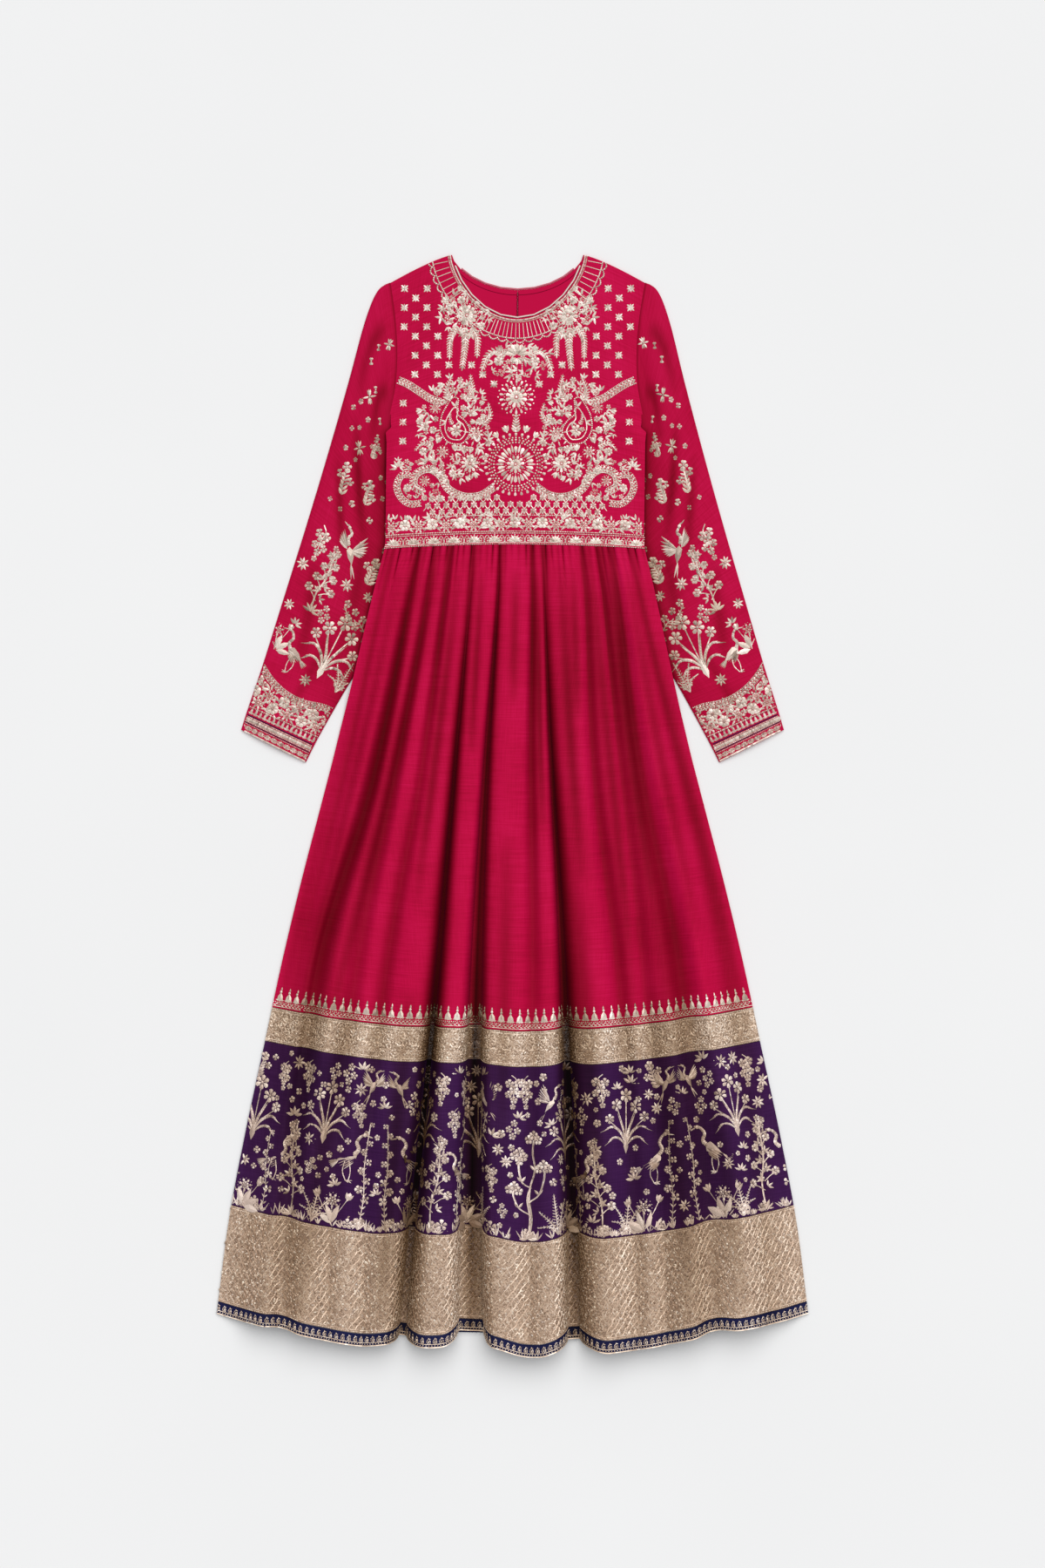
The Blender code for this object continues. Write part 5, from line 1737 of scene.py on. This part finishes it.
def garden(reach):
    """The border's garden: plants along the foot, birds between and sprigs above."""
    row = (
        # x, motif, size, turn
        (16, tree(128.0), 1.0, 0), (54, fern(48.0), 1.1, 6), (80, daisy_bush(), 1.15, 0),
        (108, spike(92.0), 1.15, 3),
        (142, flower_tree(112.0), 1.05, 3), (176, fern(42.0), 1.1, -8), (202, daisy_bush(), 1.3, 0),
        (238, spike(120.0), 1.15, -3),
    )
    birds = ((76, lily(), 1.05, -800, 0), (112, wader(), 1.05, -862, 0), (182, lily(), 1.0, -786, -4),
             (216, wader(), 1.1, -846, 0), (46, flyer(), 0.95, -736, 0),
             (150, hanging_cluster(), 1.1, -706, 0),
             (246, flyer(), 0.85, -722, 12), (108, hanging_cluster(), 1.0, -712, 0),
             (8, hanging_cluster(), 1.1, -704, 0))
    period = 262.0
    parts = []
    for turn in range(-2, 2):
        shift = turn * period + 26.0
        mirrored = turn % 2 != 0
        for x, motif, size, angle in row[mirrored:]:
            place = shift + (period - x - 9 if mirrored else x)
            parts.append(moved(motif, place, FOOT, -angle if mirrored else angle, size, mirrored))
        for x, motif, size, y, angle in birds:
            place = shift + (period - x if mirrored else x)
            parts.append(moved(motif, place, y, -angle if mirrored else angle, size, mirrored))
    rng = np.random.default_rng(41)
    place = -reach
    while place < reach:
        tuft = fan(LEAF, rng.integers(2, 6), 0.5, rng.uniform(6, 17), rng.uniform(1.7, 2.7),
                   rng.uniform(65, 115),
                   rng.uniform(45, 110))
        parts.append(moved(tuft, place, FOOT - 2.6))
        if rng.random() < 0.3:
            parts.append(moved(blossom(rng.uniform(5, 8), 5), place + 4, FOOT + rng.uniform(3, 10)))
        place += rng.choice([4.0, 6.5, 11.0, 19.0], p=[0.3, 0.3, 0.25, 0.15])
    ground = np.concatenate(parts)
    ground = ground[np.abs(ground[:, 1]) < reach]
    keep = lambda x, y: (y < -688.5) & (y > FOOT + 6)
    big = (hanging_cluster(), moved(lily(), size=0.72), spike(62.0), moved(flower_spray(), size=1.3),
           small_sprig(1.5), moved(bough(34.0), size=1.15), cluster(5.2))
    ground = scattered(ground, big, (-reach, -890, reach, -700), 9.0, 51, 900, 12, (0.85, 1.15), keep)
    ground = scattered(ground, SPRAY_MOTIFS, (-reach, -895, reach, -692), 8.0, 52, 1500, 24,
                       (0.95, 1.25), keep)
    ground = scattered(ground, FLORETS, (-reach, -900, reach, -691), 7.5, 53, 900, 180, (1.1, 1.5), keep)
    return bolder(ground)


def hem_drops(reach, top=1044.4):
    """Pointed drops on the hem's band over a low row of beads, with a cord along the edge."""
    parts = [stem([(-reach, -top - 16.5), (reach, -top - 16.5)], 1.9, 4.0)]
    x = np.arange(-reach, reach, 3.8)
    parts.append(rows_of(BEAD, x, -top - 13.9 + 0 * x, 0, 1.6, 1.6, 1.2))
    parts.append(stem([(-reach, -top - 12.1), (reach, -top - 12.1)], 0.9, 4.0))
    drop = np.concatenate([
        stem([(0, 0), (-2.0, 2.0), (-1.6, 4.4), (0, 6.6), (1.6, 4.4), (2.0, 2.0), (0, 0)], 0.8, 2.0),
        stitch(PETAL, 0, 5.0, -90, 3.8, 2.3, 0.9), stitch(BEAD, 0, 7.6, 0, 1.5, 1.5, 1.0),
    ])
    for k in range(-int(reach / 8.4), int(reach / 8.4) + 1):
        parts.append(moved(drop, k * 8.4, -top - 11.6))
    return np.concatenate(parts)


# --- Laying the embroidery -------------------------------------------------------------------

tier_grids = {}
for tier, top, bottom in skirt_tiers():
    depths = panel_depths(tier, top, bottom)
    grid = skirt_grid(depths)
    reference = len(depths) - 1 if tier == "skirt" else len(depths) // 2
    # Stitches on the skirt take the painted shade of the folds under them.
    tier_grids[tier] = grid_placer(grid, depths, reference, skirt_shades(depths))

bodice_parts = [
    collar(), both(moved(shoulder_spray(), 66, 641)), neck_drop(), medallion(), both(side_bouquet()),
    mandala(), side_scrolls(), sagged(lattice_of_florets()), sagged(floral_band()),
]
bodice_motif = np.concatenate(bodice_parts)
bodice_motif = np.concatenate([bodice_motif, star_field(bodice_motif)])
stitched("bodice_embroidery", flat_placer(shells["bodice_front"]), bodice_motif, SILVER_ZARI,
         1)
stitched(
    "waistband_embroidery", flat_placer(shells["waistband_front"]), sagged(waistband_row()),
    SILVER_ZARI, 2,
)


SLEEVE_START = 0.15
SLEEVE_ROWS = 120
UPPER_COLUMNS = 32
MIDDLE_COLUMN = 15


def sleeve_placer(side):
    """Places sleeve stitches on the upper layer; x is positive towards the outer edge."""
    positions = np.linspace(SLEEVE_START, len(SLEEVE_RINGS) - 1.0, SLEEVE_ROWS)
    upper = slice(1, UPPER_COLUMNS) if side < 0 else slice(-UPPER_COLUMNS, -1)
    rings = [sleeve_ring(p, side) for p in positions]
    # The painted shade of the sleeve, for the stitches on it.
    shades = np.array([sleeve_shade(ring, p, side)[upper] for ring, p in zip(rings, positions)])
    grid = np.array([ring[upper] for ring in rings])
    middle = grid[:, MIDDLE_COLUMN]
    down = np.r_[0.0, np.cumsum(np.linalg.norm(np.diff(middle, axis=0), axis=-1))]
    place, _ = grid_placer(grid, down, len(grid) // 2, shades)
    widths = np.linalg.norm(grid[:, -1] - grid[:, 0], axis=-1)

    def on_sleeve(x, y):
        below = down[-1] - y
        scale = widths[len(grid) // 2] / np.interp(below, down, widths)
        return place(x * scale, -below)

    return on_sleeve


for side, label in ((-1, "left"), (1, "right")):
    place = sleeve_placer(side)
    motif = moved(sleeve_garden(), flip=side < 0)
    stitched("sleeve_embroidery_" + label, place, motif, CUFF_ZARI, 3 + side)
    line = [stem([(-66, h), (66, h)], width, 4.0) for h, width in ((23.2, 1.8), (12.8, 1.3))]
    line = moved(np.concatenate(line), flip=side < 0)
    stitched("cuff_line_" + label, place, line, NAVY, 9)

for side, label in ((-1, "left"), (1, "right")):
    facing = [neckline(side * a, BACK_NECK_DEPTH) for a in range(1, 66, 4)]
    lines = np.concatenate([
        stem([(x, y - 6.2) for x, y in facing], 0.9, 4.0),
        stem([(side * 0.7, 671), (side * 0.7, 630)], 1.2, 4.0),
    ])
    place = flat_placer(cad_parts["bodice_back_" + label])
    stitched("back_seams_" + label, place, lines, SEAM_SILK, 11, spread=0.1)

# Upper and lower edges of the two gold bands, as distances below the waist down the middle.
UPPER_BAND = (636.0, 682.7)
LOWER_BAND = (910.7, 1044.4)

for name, tier, motif, look, slot in (
    ("spires", "skirt", spire_row, SILVER_ZARI, "silver_trim"),
    ("upper_band_fill", "upper_band", lambda r: close_fill(
        r, *UPPER_BAND, 4.1, 5, vine_band(r, *UPPER_BAND)[1]), GOLD_ZARI, "gold_trim"),
    ("upper_band_vine", "upper_band", lambda r: np.concatenate([
        vine_band(r, *UPPER_BAND)[0], edge_lines(r, 636.3, 682.4)]), PALE_GOLD_ZARI, "gold_trim"),
    ("border_garden", "border", garden, GARDEN_ZARI, "silver_trim"),
    ("lower_band_fill", "lower_band", lambda r: close_fill(r, *LOWER_BAND, 4.9, 6), GOLD_ZARI, "gold_trim"),
    ("lower_band_lattice", "lower_band", lambda r: np.concatenate([
        lattice(r, *LOWER_BAND), edge_lines(r, 911.0, 1044.1)]), WARM_GOLD_ZARI, "gold_trim"),
    ("lower_band_sequins", "lower_band", lambda r: sprinkled(r, 914.0, 1041.0, 1500), SILVER_ZARI,
     "gold_trim"),
    ("hem_drops", "hem_band", hem_drops, PALE_GOLD_ZARI, "gold_trim"),
):
    place, run = tier_grids[tier]
    laid = stitched(name, place, motif(run[-1] - 0.5), look, len(name))


# --- Floor, light and camera ----------------------------------------------------------------

VIEW_CENTRE = (0.0131, 0.0279)
VIEW_HEIGHT = 2.052
CAMERA_HEIGHT = 8.0
SENSOR = 36.0
FLOOR_SIZE = 14.0
SKY_COLOUR = (0.97, 0.98, 1.0, 1.0)
SKY_STRENGTH = 0.42
KEY_STRENGTH = 2.5
KEY_SPREAD = math.radians(70)
KEY_TOWARDS = Vector((-0.16, -0.44, -1.0))


def make_floor():
    bpy.ops.mesh.primitive_plane_add(size=FLOOR_SIZE, location=(0, 0, 0))
    floor = bpy.context.object
    floor.name = "floor"
    look, make, shader = new_look("floor_paint", Roughness=0.9, Specular_IOR_Level=0.1)
    coords = make("ShaderNodeTexCoord").outputs["Object"]
    noise = make("ShaderNodeTexNoise", {"Vector": coords, "Scale": 2.0, "Detail": 2.0})
    colour = colour_ramp(
        make, noise.outputs["Fac"], ((0.3, (0.772, 0.772, 0.770)), (0.7, (0.785, 0.785, 0.783)))
    )
    link(look, colour, shader.inputs["Base Color"])
    floor.data.materials.append(look)


def make_lights():
    world = bpy.data.worlds.new("studio")
    bpy.context.scene.world = world
    world.use_nodes = True
    background = world.node_tree.nodes["Background"]
    background.inputs["Color"].default_value = SKY_COLOUR
    background.inputs["Strength"].default_value = SKY_STRENGTH
    key = bpy.data.lights.new("key", "SUN")
    key.energy = KEY_STRENGTH
    key.angle = KEY_SPREAD
    lamp = bpy.data.objects.new("key", key)
    bpy.context.scene.collection.objects.link(lamp)
    lamp.rotation_euler = KEY_TOWARDS.to_track_quat("-Z", "Y").to_euler()


def make_camera():
    lens = bpy.data.cameras.new("camera")
    lens.sensor_fit = "VERTICAL"
    lens.sensor_height = SENSOR
    lens.lens = CAMERA_HEIGHT * SENSOR / VIEW_HEIGHT
    lens.clip_end = 50.0
    camera = bpy.data.objects.new("camera", lens)
    bpy.context.scene.collection.objects.link(camera)
    camera.location = (*VIEW_CENTRE, CAMERA_HEIGHT)
    bpy.context.scene.camera = camera
    bpy.context.scene.view_settings.view_transform = "Standard"


make_floor()
make_lights()
make_camera()
